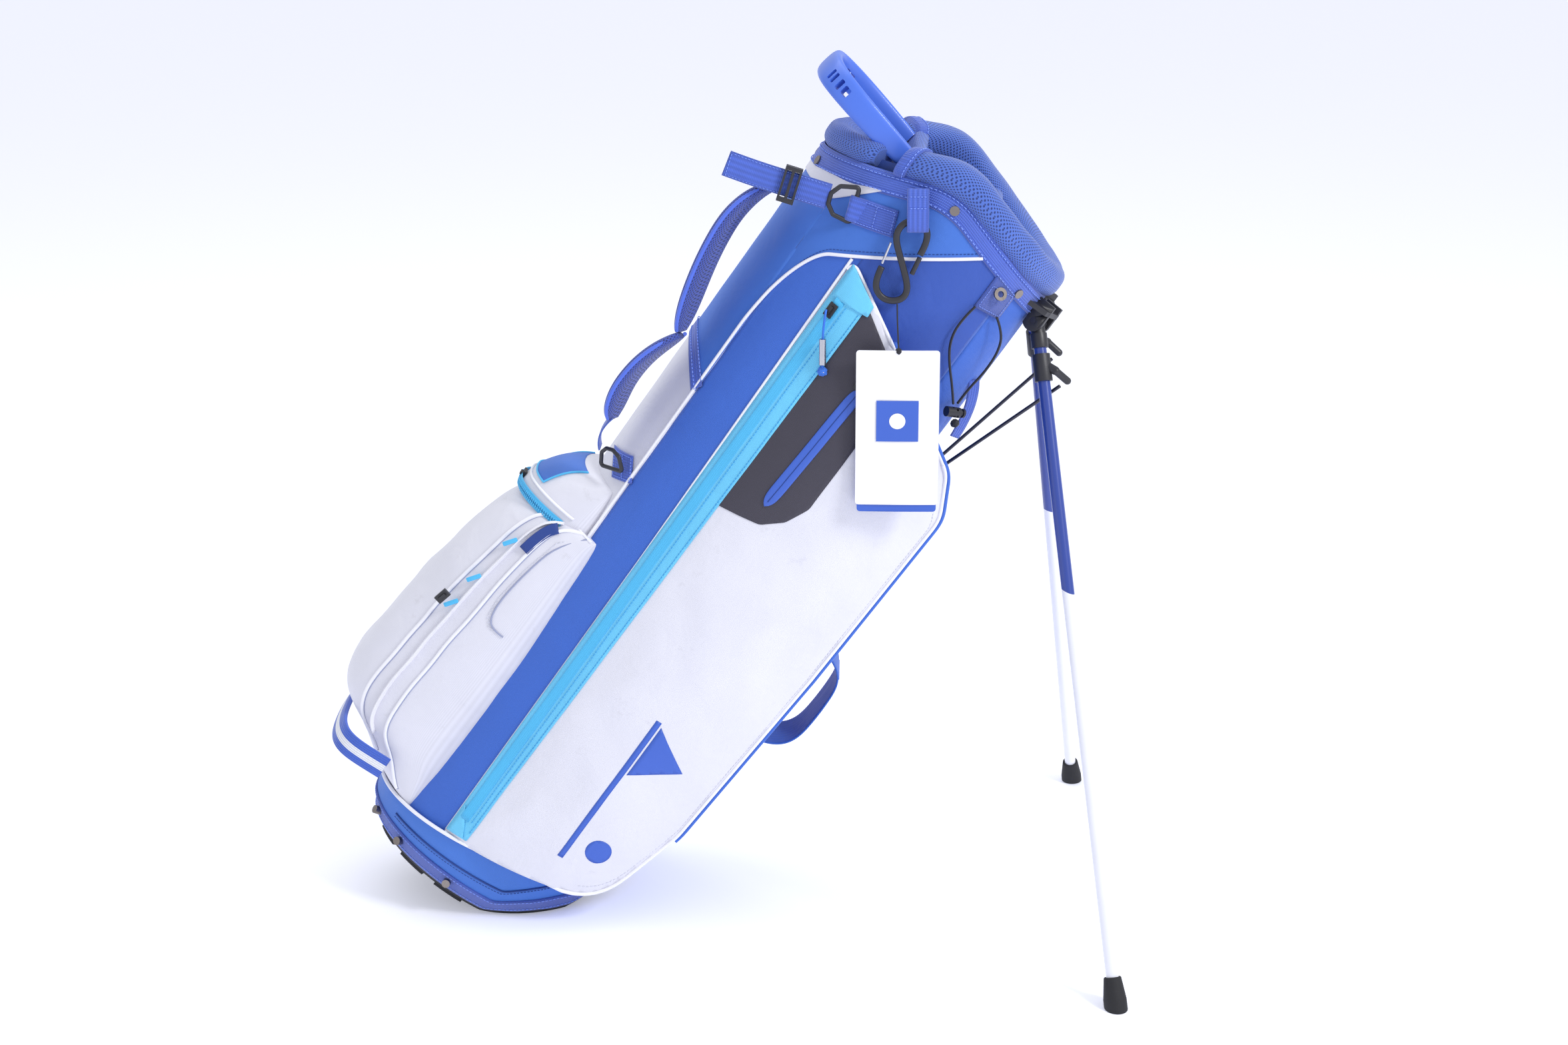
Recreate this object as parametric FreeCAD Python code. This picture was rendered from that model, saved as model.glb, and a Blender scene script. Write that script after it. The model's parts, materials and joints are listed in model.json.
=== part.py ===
import FreeCAD, Part
import math
import os

V = FreeCAD.Vector

# A golf stand bag leaning on its two deployed legs.  Millimetres.
#
# Row frame: origin at the middle of the face that rests on the ground, +X towards the legs,
# +Y to the bag's left, +Z up.  Most pieces are drawn in the bag's own frame and then leaned over:
#   a  across the bag, towards the legs
#   b  across the bag, to the left (the same as row Y)
#   h  along the bag, up from its flat bottom

# ---------------------------------------------------------------- driving dimensions
TILT = 35.0                      # lean of the bag's axis from vertical, degrees
BODY_A, BODY_B = 127.0, 104.0    # half depth and half width of the oval body, outside
WALL = 3.0                       # body panel: fabric, foam and liner
SEAM_FRONT_A = -97.0             # seam between front panel and side panels
SEAM_BACK_A = 84.0               # seam between side panels and spine panel

HEEL_A = 29.0                    # edge where the flat bottom turns into the bevel
REST_LENGTH = 86.0               # length of the bevel that rests on the ground
SOLE_T = 8.0                     # rubber sole
CUP_A, CUP_B = 131.0, 108.0      # base cup, outside
CUP_WALL = 2.4
CUP_TOP_H, CUP_TOP_SLOPE = 70.5, 0.187   # top edge of the cup at a = 0, and its slope

RIDGE_A, RIDGE_H = -12.0, 854.0  # highest point of the mouth's edge (lower edge of the trim)
FRONT_SLOPE, BACK_SLOPE = 0.44, 0.345
TRIM_W = 23.0                    # webbing band round the mouth
COLLAR_TOP = 44.0                # top of the padded collar above the trim's lower edge
COLLAR_T = 34.0                  # thickness of the padded collar

PIVOT_A, PIVOT_B, PIVOT_H = 132.0, 35.0, 808.0   # leg pivots
SKEW = 30.0                      # pivot pins are skewed from b by this, so the legs splay
LEG_OPEN = 46.3                  # swing of a leg from folded to deployed, degrees
LEG_R = 6.0
LEG_TOP = 12.0                   # where the tube starts below the pivot
FOOT_R, FOOT_LENGTH = 11.0, 30.0
HOOK_S, HOOK_Q, HOOK_W = 60.0, 20.0, -9.5         # hook tip: along the leg, out from it, sideways
ROD_R = 1.75
ROD_A, ROD_B = 136.0, 8.0        # the two push rods
LINK_H = 596.0                   # height of the link joints on the push rods

CORD_R = 1.25
STRAP_W = 25.0                   # webbing


# ---------------------------------------------------------------- frames
def row_point(a, b, h):
    """Bag frame to row frame."""
    c, s = math.cos(math.radians(TILT)), math.sin(math.radians(TILT))
    mid_a = HEEL_A + REST_LENGTH / 2 * c
    mid_h = REST_LENGTH / 2 * s
    return V((a - mid_a) * c + (h - mid_h) * s, b, -(a - mid_a) * s + (h - mid_h) * c)


def lean(shape):
    placed = shape.copy()
    turn = FreeCAD.Placement(row_point(0, 0, 0), FreeCAD.Rotation(V(0, 1, 0), TILT))
    placed.transformShape(turn.toMatrix())
    return placed


def mirror_b(shape):
    return shape.mirror(V(0, 0, 0), V(0, 1, 0))


# ---------------------------------------------------------------- building blocks
def block(a0, a1, b0, b1, h0, h1):
    return Part.makeBox(a1 - a0, b1 - b0, h1 - h0, V(a0, b0, h0))


def slab(points, b0, b1):
    """Polygon in the a-h plane, extruded along b."""
    corners = [V(a, b0, h) for a, h in points]
    face = Part.Face(Part.makePolygon(corners + corners[:1]))
    return face.extrude(V(0, b1 - b0, 0))


def column(points, h0, h1):
    """Polygon in the a-b plane, extruded along h."""
    corners = [V(a, b, h0) for a, b in points]
    face = Part.Face(Part.makePolygon(corners + corners[:1]))
    return face.extrude(V(0, 0, h1 - h0))


def rounded_slab(points, radius, b0, b1):
    """Polygon in the a-h plane with its corners rounded, extruded along b."""
    edges = []
    count = len(points)
    ends = []
    for i in range(count):
        p, before, after = (V(*points[j % count], 0) for j in (i, i - 1, i + 1))
        to_before, to_after = (before - p).normalize(), (after - p).normalize()
        half = to_before.getAngle(to_after) / 2
        cut = radius / math.tan(half)
        middle = p + (to_before + to_after).normalize() * (radius / math.sin(half) - radius)
        ends.append((p + to_before * cut, middle, p + to_after * cut))
    for i in range(count):
        start, middle, end = (V(q.x, b0, q.y) for q in ends[i])
        edges.append(Part.Arc(start, middle, end).toShape())
        following = ends[(i + 1) % count][0]
        edges.append(Part.LineSegment(end, V(following.x, b0, following.y)).toShape())
    return Part.Face(Part.Wire(edges)).extrude(V(0, b1 - b0, 0))


def oval(half_a, half_b, h):
    ellipse = Part.Ellipse(V(0, 0, h), half_a, half_b)
    return Part.Wire(ellipse.toShape())


def oval_column(half_a, half_b, h0, h1):
    return Part.Face(oval(half_a, half_b, h0)).extrude(V(0, 0, h1 - h0))


def oval_ring(outer_a, outer_b, thickness, h0, h1):
    outer = oval_column(outer_a, outer_b, h0, h1)
    return outer.cut(oval_column(outer_a - thickness, outer_b - thickness, h0 - 1, h1 + 1))


def bar(start, end, radius):
    """Round bar between two points."""
    direction = end - start
    return Part.makeCylinder(radius, direction.Length, start, direction)


def ribbon(points, thickness, width):
    """Band along a plane curve: points run along one edge, and width is the vector to the other."""
    left, right = [], []
    for i, p in enumerate(points):
        along = points[min(i + 1, len(points) - 1)] - points[max(i - 1, 0)]
        across = along.cross(width).normalize() * (thickness / 2)
        left.append(p + across)
        right.append(p - across)
    edges = []
    for side in (left, list(reversed(right))):
        curve = Part.BSplineCurve()
        curve.interpolate(side)
        edges.append(curve.toShape())
    edges.insert(1, Part.makeLine(left[-1], right[-1]))
    edges.append(Part.makeLine(right[0], left[0]))
    return Part.Face(Part.Wire(edges)).extrude(width)


def bent_rod(points, radius, bend):
    """Round rod along straight runs joined by arcs of one bend radius."""
    edges = []
    cursor = points[0]
    for before, p, after in zip(points, points[1:], points[2:]):
        to_before, to_after = (before - p).normalize(), (after - p).normalize()
        half_angle = to_before.getAngle(to_after) / 2
        cut = bend / math.tan(half_angle)
        middle = p + (to_before + to_after).normalize() * (bend / math.sin(half_angle) - bend)
        edges.append(Part.makeLine(cursor, p + to_before * cut))
        edges.append(Part.Arc(p + to_before * cut, middle, p + to_after * cut).toShape())
        cursor = p + to_after * cut
    edges.append(Part.makeLine(cursor, points[-1]))
    section = Part.Wire(Part.makeCircle(radius, points[0], points[1] - points[0]))
    return Part.Wire(edges).makePipeShell([section], True, True)


def cord(points, radius):
    """Tube along straight runs joined by the largest tangent arcs that they allow."""
    edges = []
    cursor = points[0]
    for before, p, after in zip(points, points[1:], points[2:]):
        to_before, to_after = before - p, after - p
        run = min(to_before.Length, to_after.Length)
        to_before.normalize()
        to_after.normalize()
        half_angle = to_before.getAngle(to_after) / 2
        cut = 0.45 * run
        arc_radius = cut * math.tan(half_angle)
        bisector = (to_before + to_after).normalize()
        middle = p + bisector * (arc_radius / math.sin(half_angle) - arc_radius)
        edges.append(Part.LineSegment(cursor, p + to_before * cut).toShape())
        edges.append(Part.Arc(p + to_before * cut, middle, p + to_after * cut).toShape())
        cursor = p + to_after * cut
        print("cord bend radius %.1f for a %.1f mm cord" % (arc_radius, 2 * radius))
    edges.append(Part.LineSegment(cursor, points[-1]).toShape())
    path = Part.Wire(edges)
    section = Part.Wire(Part.makeCircle(radius, points[0], points[1] - points[0]))
    tube = path.makePipeShell([section], True, True)
    length = path.Length
    print("cord length %.1f, volume ratio %.4f" % (length, tube.Volume / (math.pi * radius ** 2 * length)))
    return tube


def group(shapes):
    return Part.makeCompound(shapes)


# ---------------------------------------------------------------- mouth and base outlines
def under_roof(rise):
    """Everything below the mouth's edge moved up by rise: two slopes that meet at a rounded ridge."""
    reach = 250.0
    soften = 26.0
    top = RIDGE_H + rise
    front = (RIDGE_A - reach, top - FRONT_SLOPE * reach)
    back = (RIDGE_A + reach, top - BACK_SLOPE * reach)
    start = V(RIDGE_A - soften, -300, top - FRONT_SLOPE * soften)
    end = V(RIDGE_A + soften, -300, top - BACK_SLOPE * soften)
    middle = V(RIDGE_A, -300, top - soften * (FRONT_SLOPE + BACK_SLOPE) / 4)
    low = [V(back[0], -300, -50), V(front[0], -300, -50)]
    edges = [
        Part.makeLine(V(front[0], -300, front[1]), start),
        Part.Arc(start, middle, end).toShape(),
        Part.makeLine(end, V(back[0], -300, back[1])),
        Part.makeLine(V(back[0], -300, back[1]), low[0]),
        Part.makeLine(low[0], low[1]),
        Part.makeLine(low[1], V(front[0], -300, front[1])),
    ]
    return Part.Face(Part.Wire(edges)).extrude(V(0, 600, 0))


def between_roofs(shape, low, high):
    return shape.common(under_roof(high)).cut(under_roof(low))


def above_sole(offset):
    """Everything above the bag's underside: flat bottom, ground bevel, then a steeper bevel."""
    c, s = math.cos(math.radians(TILT)), math.sin(math.radians(TILT))
    toe = (HEEL_A + REST_LENGTH * c, REST_LENGTH * s)
    steep = math.radians(58)
    heel_in = offset * math.tan(math.radians(TILT) / 2)
    toe_in = offset * math.tan((steep - math.radians(TILT)) / 2)
    heel_point = (HEEL_A - heel_in, offset)
    toe_point = (toe[0] - offset * s - toe_in * c, toe[1] + offset * c - toe_in * s)
    far_point = (toe_point[0] + 100 * math.cos(steep), toe_point[1] + 100 * math.sin(steep))
    outline = [(-200, offset), heel_point, toe_point, far_point, (far_point[0], 400), (-200, 400)]
    return slab(outline, -200, 200)


def base_form(inset, offset):
    """Oval boot that narrows towards its bottom, cut by the underside."""
    sections = [(102, 80, 0), (112, 89, 9), (123, 99.5, 26), (129, 106, 46), (CUP_A, CUP_B, 66)]
    wires = [oval(a - inset, b - inset, h) for a, b, h in sections]
    boot = Part.makeLoft(wires, True)
    boot = boot.fuse(oval_column(CUP_A - inset, CUP_B - inset, 66, 150)).removeSplitter()
    return boot.common(above_sole(offset))


def under_cup_top(drop):
    """Everything below the base cup's sloping top edge, lowered by drop."""
    def edge(a):
        return CUP_TOP_H - drop + CUP_TOP_SLOPE * a
    return slab([(-200, -20), (200, -20), (200, edge(200)), (-200, edge(-200))], -200, 200)


# ---------------------------------------------------------------- body
def body_panels():
    shell = oval_ring(BODY_A, BODY_B, WALL, 52, 900).common(under_roof(TRIM_W - 2))
    shell = shell.common(above_sole(SOLE_T + CUP_WALL + 1))
    gap = 0.15
    front = block(-200, SEAM_FRONT_A - gap, -200, 200, 0, 950)
    back = block(SEAM_BACK_A + gap, 200, -200, 200, 0, 950)
    right = block(SEAM_FRONT_A + gap, SEAM_BACK_A - gap, -200, 0, 0, 950)
    left = block(SEAM_FRONT_A + gap, SEAM_BACK_A - gap, 0, 200, 0, 950)
    return {
        "front_panel": shell.common(front),
        "spine_panel": shell.common(back),
        "right_side_panel": shell.common(right),
        "left_side_panel": shell.common(left),
    }


def body_stays():
    """Stiffening rods inside the body, from the base cup to the mouth ring."""
    radius, inset = 3.0, 6.5
    stays = []
    for angle in (40, 140, 220, 320):
        a = (BODY_A - inset) * math.cos(math.radians(angle))
        b = (BODY_B - inset) * math.sin(math.radians(angle))
        stays.append(bar(V(a, b, 70), V(a, b, 860), radius).common(under_roof(-31)))
    return group(stays)


def base_cup():
    outer = base_form(0, SOLE_T)
    inner = base_form(CUP_WALL, SOLE_T + CUP_WALL)
    return outer.cut(inner).common(under_cup_top(0))


def toe_window(margin):
    return block(HEEL_A - 7, 260, -46 - margin, 46 + margin, -30, 200)


def base_sole():
    tread = base_form(0, 0).cut(above_sole(SOLE_T))
    window = toe_window(2).cut(above_sole(SOLE_T))
    hinge = toe_hinge()
    pin_hole = Part.makeCylinder(2.1, 124, V(hinge.x, -62, hinge.z), V(0, 1, 0))
    return tread.cut(window).cut(pin_hole)


def base_trim():
    """Webbing band round the lower edge of the cup."""
    outer = base_form(-1.8, SOLE_T)
    band = outer.cut(base_form(-0.2, SOLE_T - 2)).cut(above_sole(SOLE_T + 20))
    return band.common(under_cup_top(0.5))


def base_rivets():
    rivets = []
    for angle in (205, 230, 262, 98, 130, 155):
        bottom = 16.0
        a, b = 121 * math.cos(math.radians(angle)), 98 * math.sin(math.radians(angle))
        if a > HEEL_A:
            bottom += (a - HEEL_A) * math.tan(math.radians(TILT)) + 4
        out = V(a / 121 ** 2, b / 98 ** 2, 0).normalize()
        rivet = bar(V(a, b, bottom) - out * 3.0, V(a, b, bottom) + out * 4.2, 4.2)
        rivets.append(rivet.cut(base_form(-1.9, SOLE_T - 2)))
    return rivets


# ---------------------------------------------------------------- mouth
def mouth_ring():
    """Moulded ring inside the top of the body."""
    ring = oval_ring(BODY_A - WALL - 0.3, BODY_B - WALL - 0.3, 6, 700, 950)
    return between_roofs(ring, -30, TRIM_W - 2)


def collar_trim():
    ring = oval_ring(BODY_A + 2.2, BODY_B + 2.2, 1.9, 700, 950)
    return between_roofs(ring, 0, TRIM_W)


def collar():
    """Padded roll on top of the mouth ring."""
    ring = oval_ring(BODY_A + 5, BODY_B + 5, COLLAR_T, 700, 960)
    return between_roofs(ring, TRIM_W + 0.4, COLLAR_TOP)


def mouth_rivets():
    rivets = []
    for angle in (194, 268, 317, 43, 92, 166):
        a, b = BODY_A * math.cos(math.radians(angle)), BODY_B * math.sin(math.radians(angle))
        slope = FRONT_SLOPE if a < RIDGE_A else -BACK_SLOPE
        h = RIDGE_H + slope * (a - RIDGE_A) + 7
        out = V(a / BODY_A ** 2, b / BODY_B ** 2, 0).normalize()
        rivet = bar(V(a, b, h) - out * 2, V(a, b, h) + out * 4.4, 4.6)
        rivets.append(rivet.cut(oval_column(BODY_A + 2.3, BODY_B + 2.3, 700, 960)))
    return rivets


def divider(a0, a1, b0, b1):
    """Padded divider bar hung across the mouth, clear of the collar and ring."""
    inside = oval_column(BODY_A - WALL - 7, BODY_B - WALL - 7, 600, 960)
    bar_block = block(a0, a1, b0, b1, 600, 960).common(inside)
    return between_roofs(bar_block, -45, TRIM_W - 4)


def dividers():
    half = 7.0
    front = divider(-48 - half, -48 + half, -120, 120)
    rear = divider(44 - half, 44 + half, -120, 120)
    centre = divider(-48 + half + 0.3, 44 - half - 0.3, -half, half)
    return group([front, rear, centre])


# ---------------------------------------------------------------- lift handle
HANDLE_ROOT = (-72.0, 66.0, 868.0)
HANDLE_TIP_A, HANDLE_TIP_H = -168.0, 889.0


def handle_frame():
    """Plane of the handle's loop: it leaves the collar forwards and rises slightly."""
    root = V(HANDLE_ROOT[0], 0, HANDLE_ROOT[2])
    forward = V(HANDLE_TIP_A, 0, HANDLE_TIP_H) - root
    reach = forward.Length
    forward.normalize()
    return root, forward, reach


def handle_loop(offset, h_half):
    """U-shaped outline, offset outwards, extruded through the plane of the loop."""
    root, forward, reach = handle_frame()
    half = HANDLE_ROOT[1]

    def at(u, w):
        return V(-u, w, 0)
    tip = reach + offset
    side = half + offset
    shoulder = reach * 0.42
    flat = 14.0
    bend = V(-(reach * 0.86 + offset * 0.8), (half + offset * 0.9) * 0.74, 0)
    curve_right = Part.Arc(at(shoulder, side), bend, at(tip, flat)).toShape()
    mirrored = V(bend.x, -bend.y, 0)
    curve_left = Part.Arc(at(tip, -flat), mirrored, at(shoulder, -side)).toShape()
    edges = [
        Part.makeLine(at(-24, side), at(shoulder, side)),
        curve_right,
        Part.makeLine(at(tip, flat), at(tip, -flat)),
        curve_left,
        Part.makeLine(at(shoulder, -side), at(-24, -side)),
        Part.makeLine(at(-24, -side), at(-24, side)),
    ]
    face = Part.Face(Part.Wire(edges))
    solid = face.extrude(V(0, 0, 2 * h_half))
    solid.translate(V(0, 0, -h_half))
    pitch = math.degrees(math.atan2(forward.z, -forward.x))
    solid.rotate(V(0, 0, 0), V(0, 1, 0), pitch)
    solid.translate(root)
    return solid


def lift_handle():
    grip = handle_loop(6.5, 13).cut(handle_loop(-6.5, 40))
    trimmed = grip.cut(under_roof(COLLAR_TOP + 0.5).common(oval_column(BODY_A + 6, BODY_B + 6, 600, 980)))
    return max(trimmed.Solids, key=lambda solid: solid.Volume)


def handle_roots():
    """Moulded feet of the handle, inside the fabric sleeves on the collar."""
    feet = []
    for side in (-1, 1):
        outer = oval_column(BODY_A + 8.5, BODY_B + 8.5, 700, 980)
        outer = outer.cut(oval_column(BODY_A - 31, BODY_B - 31, 690, 990))
        window = block(-92, -54, 50 if side > 0 else -98, 98 if side > 0 else -50, 700, 980)
        cuff = outer.common(window)
        cuff = cuff.common(under_roof(COLLAR_TOP + 12)).cut(under_roof(TRIM_W + 0.3))
        cuff = cuff.cut(collar()).cut(handle_loop(6.9, 13.4).cut(handle_loop(-6.9, 40)))
        feet.append(cuff)
    return feet


# ---------------------------------------------------------------- leg bracket and legs
def pivot_axis(side):
    """Unit vector of a leg's pivot pin; side is -1 for the right leg and +1 for the left."""
    angle = math.radians(SKEW)
    return V(-math.sin(angle), side * math.cos(angle), 0)


def sweep_out(side):
    """Horizontal direction in which a leg opens."""
    angle = math.radians(SKEW)
    return V(math.cos(angle), side * math.sin(angle), 0)


def pivot_point(side):
    return V(PIVOT_A, side * PIVOT_B, PIVOT_H)


def leg_direction(side, opened):
    angle = math.radians(opened)
    return sweep_out(side) * math.sin(angle) + V(0, 0, -math.cos(angle))


def leg_normal(side, opened):
    angle = math.radians(opened)
    return sweep_out(side) * math.cos(angle) + V(0, 0, math.sin(angle))


def leg_length():
    pivot = row_point(PIVOT_A, PIVOT_B, PIVOT_H)
    foot = row_point(*(pivot_point(1) + leg_direction(1, LEG_OPEN)))
    return pivot.z / (pivot.z - foot.z)


def hook_tip(side):
    """Where a link takes hold of the clamp on an opened leg."""
    out = leg_direction(side, LEG_OPEN) * HOOK_S + leg_normal(side, LEG_OPEN) * HOOK_Q
    return pivot_point(side) + out + pivot_axis(side) * HOOK_W


def ear(side, u0, u1):
    """Cheek plate of the bracket beside a leg's head."""
    axis, out = pivot_axis(side), sweep_out(side)
    pivot = pivot_point(side)
    disc = Part.makeCylinder(10.5, u1 - u0, pivot + axis * u0, axis)
    corners = [(-10.5, 0), (10.5, 0), (10.5, 22), (-10.5, 22)]
    points = [pivot + axis * u0 + out * o + V(0, 0, z) for o, z in corners]
    plate = Part.Face(Part.makePolygon(points + points[:1])).extrude(axis * (u1 - u0))
    return disc.fuse(plate)


def leg_bracket():
    clear = oval_column(BODY_A + 2.6, BODY_B + 2.6, 700, 950)
    spine = block(100, 146, -56, 56, PIVOT_H + 11, PIVOT_H + 16)
    corner = column([(147, -34), (147, 34), (128, 60), (90, 60), (90, -60), (128, -60)], 700, 900)
    body = spine.common(corner)
    for side in (-1, 1):
        body = body.fuse(ear(side, 7.4, 11.4)).fuse(ear(side, -11.4, -7.4))
    body = body.cut(clear)
    for side in (-1, 1):
        hole = Part.makeCylinder(3.0, 60, pivot_point(side) - pivot_axis(side) * 30, pivot_axis(side))
        body = body.cut(hole)
    body = body.cut(between_roofs(oval_ring(BODY_A + 6, BODY_B + 6, COLLAR_T, 700, 960), TRIM_W - 0.4, COLLAR_TOP))
    solids = sorted(body.Solids, key=lambda solid: -solid.Volume)
    return solids[0]


def hinge_pins():
    """Pivot screws of both legs and the toe plate's pin."""
    pins = [toe_pin()]
    for side in (-1, 1):
        axis, pivot = pivot_axis(side), pivot_point(side)
        shank = bar(pivot - axis * 12.4, pivot + axis * 11.4, 2.95)
        head = bar(pivot - axis * 13.9, pivot - axis * 11.6, 4.6)
        pins.append(shank.fuse(head))
    return group(pins)


def leg_pieces(side):
    """Head, tube, hook clamp and foot of one deployed leg."""
    pivot, axis = pivot_point(side), pivot_axis(side)
    along, normal = leg_direction(side, LEG_OPEN), leg_normal(side, LEG_OPEN)
    length = leg_length()

    barrel = Part.makeCylinder(8.0, 14, pivot - axis * 7, axis)
    neck = bar(pivot, pivot + along * 14, 6.9)
    socket = bar(pivot + along * LEG_TOP, pivot + along * 26, 8.0)
    head = barrel.fuse(neck).fuse(socket)
    head = head.cut(Part.makeCylinder(3.02, 40, pivot - axis * 20, axis))
    head = head.cut(bar(pivot + along * LEG_TOP, pivot + along * 60, LEG_R))

    tube = bar(pivot + along * LEG_TOP, pivot + along * (length - 4), LEG_R)
    tube = tube.cut(bar(pivot + along * (LEG_TOP - 1), pivot + along * (length - 6), LEG_R - 1.2))

    clamp = bar(pivot + along * 32, pivot + along * 58, 8.6)
    knee = pivot + along * 50 + normal * 13
    tip = hook_tip(side)
    clamp = clamp.fuse(bar(pivot + along * 40, knee, 4.2)).fuse(bar(knee, tip, 3.6))
    clamp = clamp.fuse(Part.makeSphere(4.0, knee)).fuse(Part.makeSphere(3.6, tip))
    clamp = clamp.cut(bar(pivot + along * 20, pivot + along * 80, LEG_R))

    sole = pivot + along * length
    boot_top = sole - along * FOOT_LENGTH
    boot = Part.makeCone(LEG_R + 2.2, FOOT_R, FOOT_LENGTH - 9, boot_top, along)
    boot = boot.fuse(bar(sole - along * 9.1, sole + along * 8, FOOT_R))
    boot = boot.cut(bar(boot_top - along * 5, sole - along * 4, LEG_R))
    name = "right" if side < 0 else "left"
    return {
        name + "_leg_head": lean(head),
        name + "_leg_tube": lean(tube),
        name + "_leg_hook": lean(clamp),
        name + "_leg_foot": cut_at_floor(lean(boot)),
    }


def cut_at_floor(shape):
    floor = Part.makeBox(1400, 1400, 60, V(-600, -700, -60))
    return shape.cut(floor)


# ---------------------------------------------------------------- foot linkage
ROD_TRAVEL = 42.6                # how far the rods slide down as the legs fold
PLATE_TRAVEL = 23.1              # degrees that the toe plate swings meanwhile


def toe_hinge():
    half = math.radians(TILT) / 2
    return V(HEEL_A - 4 * math.tan(half), 0, 4)


def toe_plate():
    hinge = toe_hinge()
    c, s = math.cos(math.radians(TILT)), math.sin(math.radians(TILT))
    along, up = V(c, 0, s), V(-s, 0, c)

    def at(x, z):
        p = hinge + along * x + up * (z - 4)
        return (p.x, p.z)
    plate = slab([at(0, 0), at(98, 0), at(100, 5), at(97, 13), at(72, 13), at(66, 7), at(0, 7)], -45, 45)
    barrel = Part.makeCylinder(4, 90, V(hinge.x, -45, hinge.z), V(0, 1, 0))
    hole = Part.makeCylinder(2.05, 120, V(hinge.x, -60, hinge.z), V(0, 1, 0))
    relief = above_sole(SOLE_T - 0.6).common(block(-50, 106, -60, 60, -10, 200))
    plate = plate.fuse(barrel).cut(hole).cut(relief)
    for pocket in rod_pockets():
        plate = plate.cut(pocket)
    return max(plate.Solids, key=lambda solid: solid.Volume)


def rod_pockets():
    """Room in the toe plate for the rods' foot at each step of the fold."""
    hinge = toe_hinge()
    pockets = []
    for step in range(17):
        share = step / 16
        drop = V(0, 0, -ROD_TRAVEL * share)
        foot, bend = V(112, 0, 71.5) + drop, V(ROD_A, 0, 112) + drop
        tools = [bar(foot - V(0, ROD_B + 5, 0), foot + V(0, ROD_B + 5, 0), ROD_R + 1.2)]
        for side in (-1, 1):
            shift = V(0, side * ROD_B, 0)
            tools.append(bar(foot + shift, bend + shift, ROD_R + 0.8))
        for tool in tools:
            tool.rotate(hinge, V(0, 1, 0), -PLATE_TRAVEL * share)
            pockets.append(tool)
    return pockets


def toe_pin():
    hinge = toe_hinge()
    return Part.makeCylinder(2.0, 112, V(hinge.x, -56, hinge.z), V(0, 1, 0))


def push_rods():
    """Two steel rods up the spine, joined at the toe plate by a cross bar."""
    pieces = []
    for side in (-1, 1):
        foot = V(112, side * ROD_B, 71.5)
        bend = V(ROD_A, side * ROD_B, 112)
        top = V(ROD_A, side * ROD_B, LINK_H - 3)
        pieces += [bar(foot, bend, ROD_R), bar(bend, top, ROD_R), Part.makeSphere(ROD_R, bend)]
    foot_bar = bar(V(112, -ROD_B - 4, 71.5), V(112, ROD_B + 4, 71.5), ROD_R + 0.4)
    solid = foot_bar
    for piece in pieces:
        solid = solid.fuse(piece)
    return solid


def link_ends(side):
    start = V(ROD_A, side * ROD_B, LINK_H)
    return start, hook_tip(side)


def link(side):
    start, tip = link_ends(side)
    direction = (tip - start).normalize()
    return bar(start + direction * 0.5, tip - direction * 9.0, ROD_R)


# ---------------------------------------------------------------- pockets
POCKET_C = (43.0, 76.0)          # axis of the side pocket's curved face, in a and b
POCKET_R = 196.4
POCKET_EDGE = (168.0, -76.0)


def pocket_side(extra):
    """The side pocket's section, everywhere along h, its face moved out by extra."""
    face = Part.makeCylinder(POCKET_R + extra, 900, V(POCKET_C[0], POCKET_C[1], 0))
    edge_a = POCKET_EDGE[0] + extra + 0.7
    wedge = [(-80, -180), (edge_a, -180), (edge_a, POCKET_EDGE[1] + extra),
             (106, -57), (40, -30), (-80, -60)]
    section = face.common(column(wedge, 0, 900))
    return section.cut(oval_column(BODY_A + 0.4, BODY_B + 0.4, -5, 905))


def garment_outline():
    return [(-52, 40), (-52, 767), (138, 650), (164, 604), (157, 400), (143, 190), (114, 94), (60, 40)]


def garment_pocket():
    outline = rounded_slab(garment_outline(), 12, -200, 0)
    pocket = pocket_side(0).common(outline)
    cup = oval_column(CUP_A + 2.2, CUP_B + 2.2, -20, 300).common(under_cup_top(-0.4))
    return pocket.cut(cup)


def valuables_pocket():
    outline = rounded_slab([(-15, 500), (-15, 728), (44, 690), (47, 552), (26, 518)], 9, -200, 0)
    panel = pocket_side(3.2).common(outline)
    return panel.cut(pocket_side(0.3).common(slab([(-60, 0), (300, 0), (300, 900), (-60, 900)], -300, 0)))


def strip_on_pocket(a, width, h0, h1, low, high):
    """Straight strip along h on the side pocket's face, between two heights above it."""
    rise = math.sqrt(POCKET_R ** 2 - (a - POCKET_C[0]) ** 2)
    out = V(a - POCKET_C[0], -rise, 0).normalize()
    centre = V(*POCKET_C, 0)
    inner, outer = centre + out * (POCKET_R + low), centre + out * (POCKET_R + high)
    across = V(-out.y, out.x, 0) * (width / 2)
    corners = [inner - across, inner + across, outer + across, outer - across]
    corners = [V(p.x, p.y, h0) for p in corners]
    return Part.Face(Part.makePolygon(corners + corners[:1])).extrude(V(0, 0, h1 - h0))


GARMENT_ZIP_A, GARMENT_ZIP_H = -41.0, (92.0, 738.0)
VALUABLES_ZIP_A, VALUABLES_ZIP_H = 18.0, (532.0, 690.0)


LEFT_ZIP_A, LEFT_ZIP_H = 20.0, (140.0, 520.0)
BALL_ZIP = [(-158, 370), (-189, 240), (-200, 134)]      # on the pouch's side, in a and h
BALL_SIDE_B = -78.0
ACCESSORY_ZIP = (-175.0, 386.5)                         # across the front, in a and h


def ball_zip_direction():
    return V(BALL_ZIP[0][0] - BALL_ZIP[1][0], 0, BALL_ZIP[0][1] - BALL_ZIP[1][1]).normalize()


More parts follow.
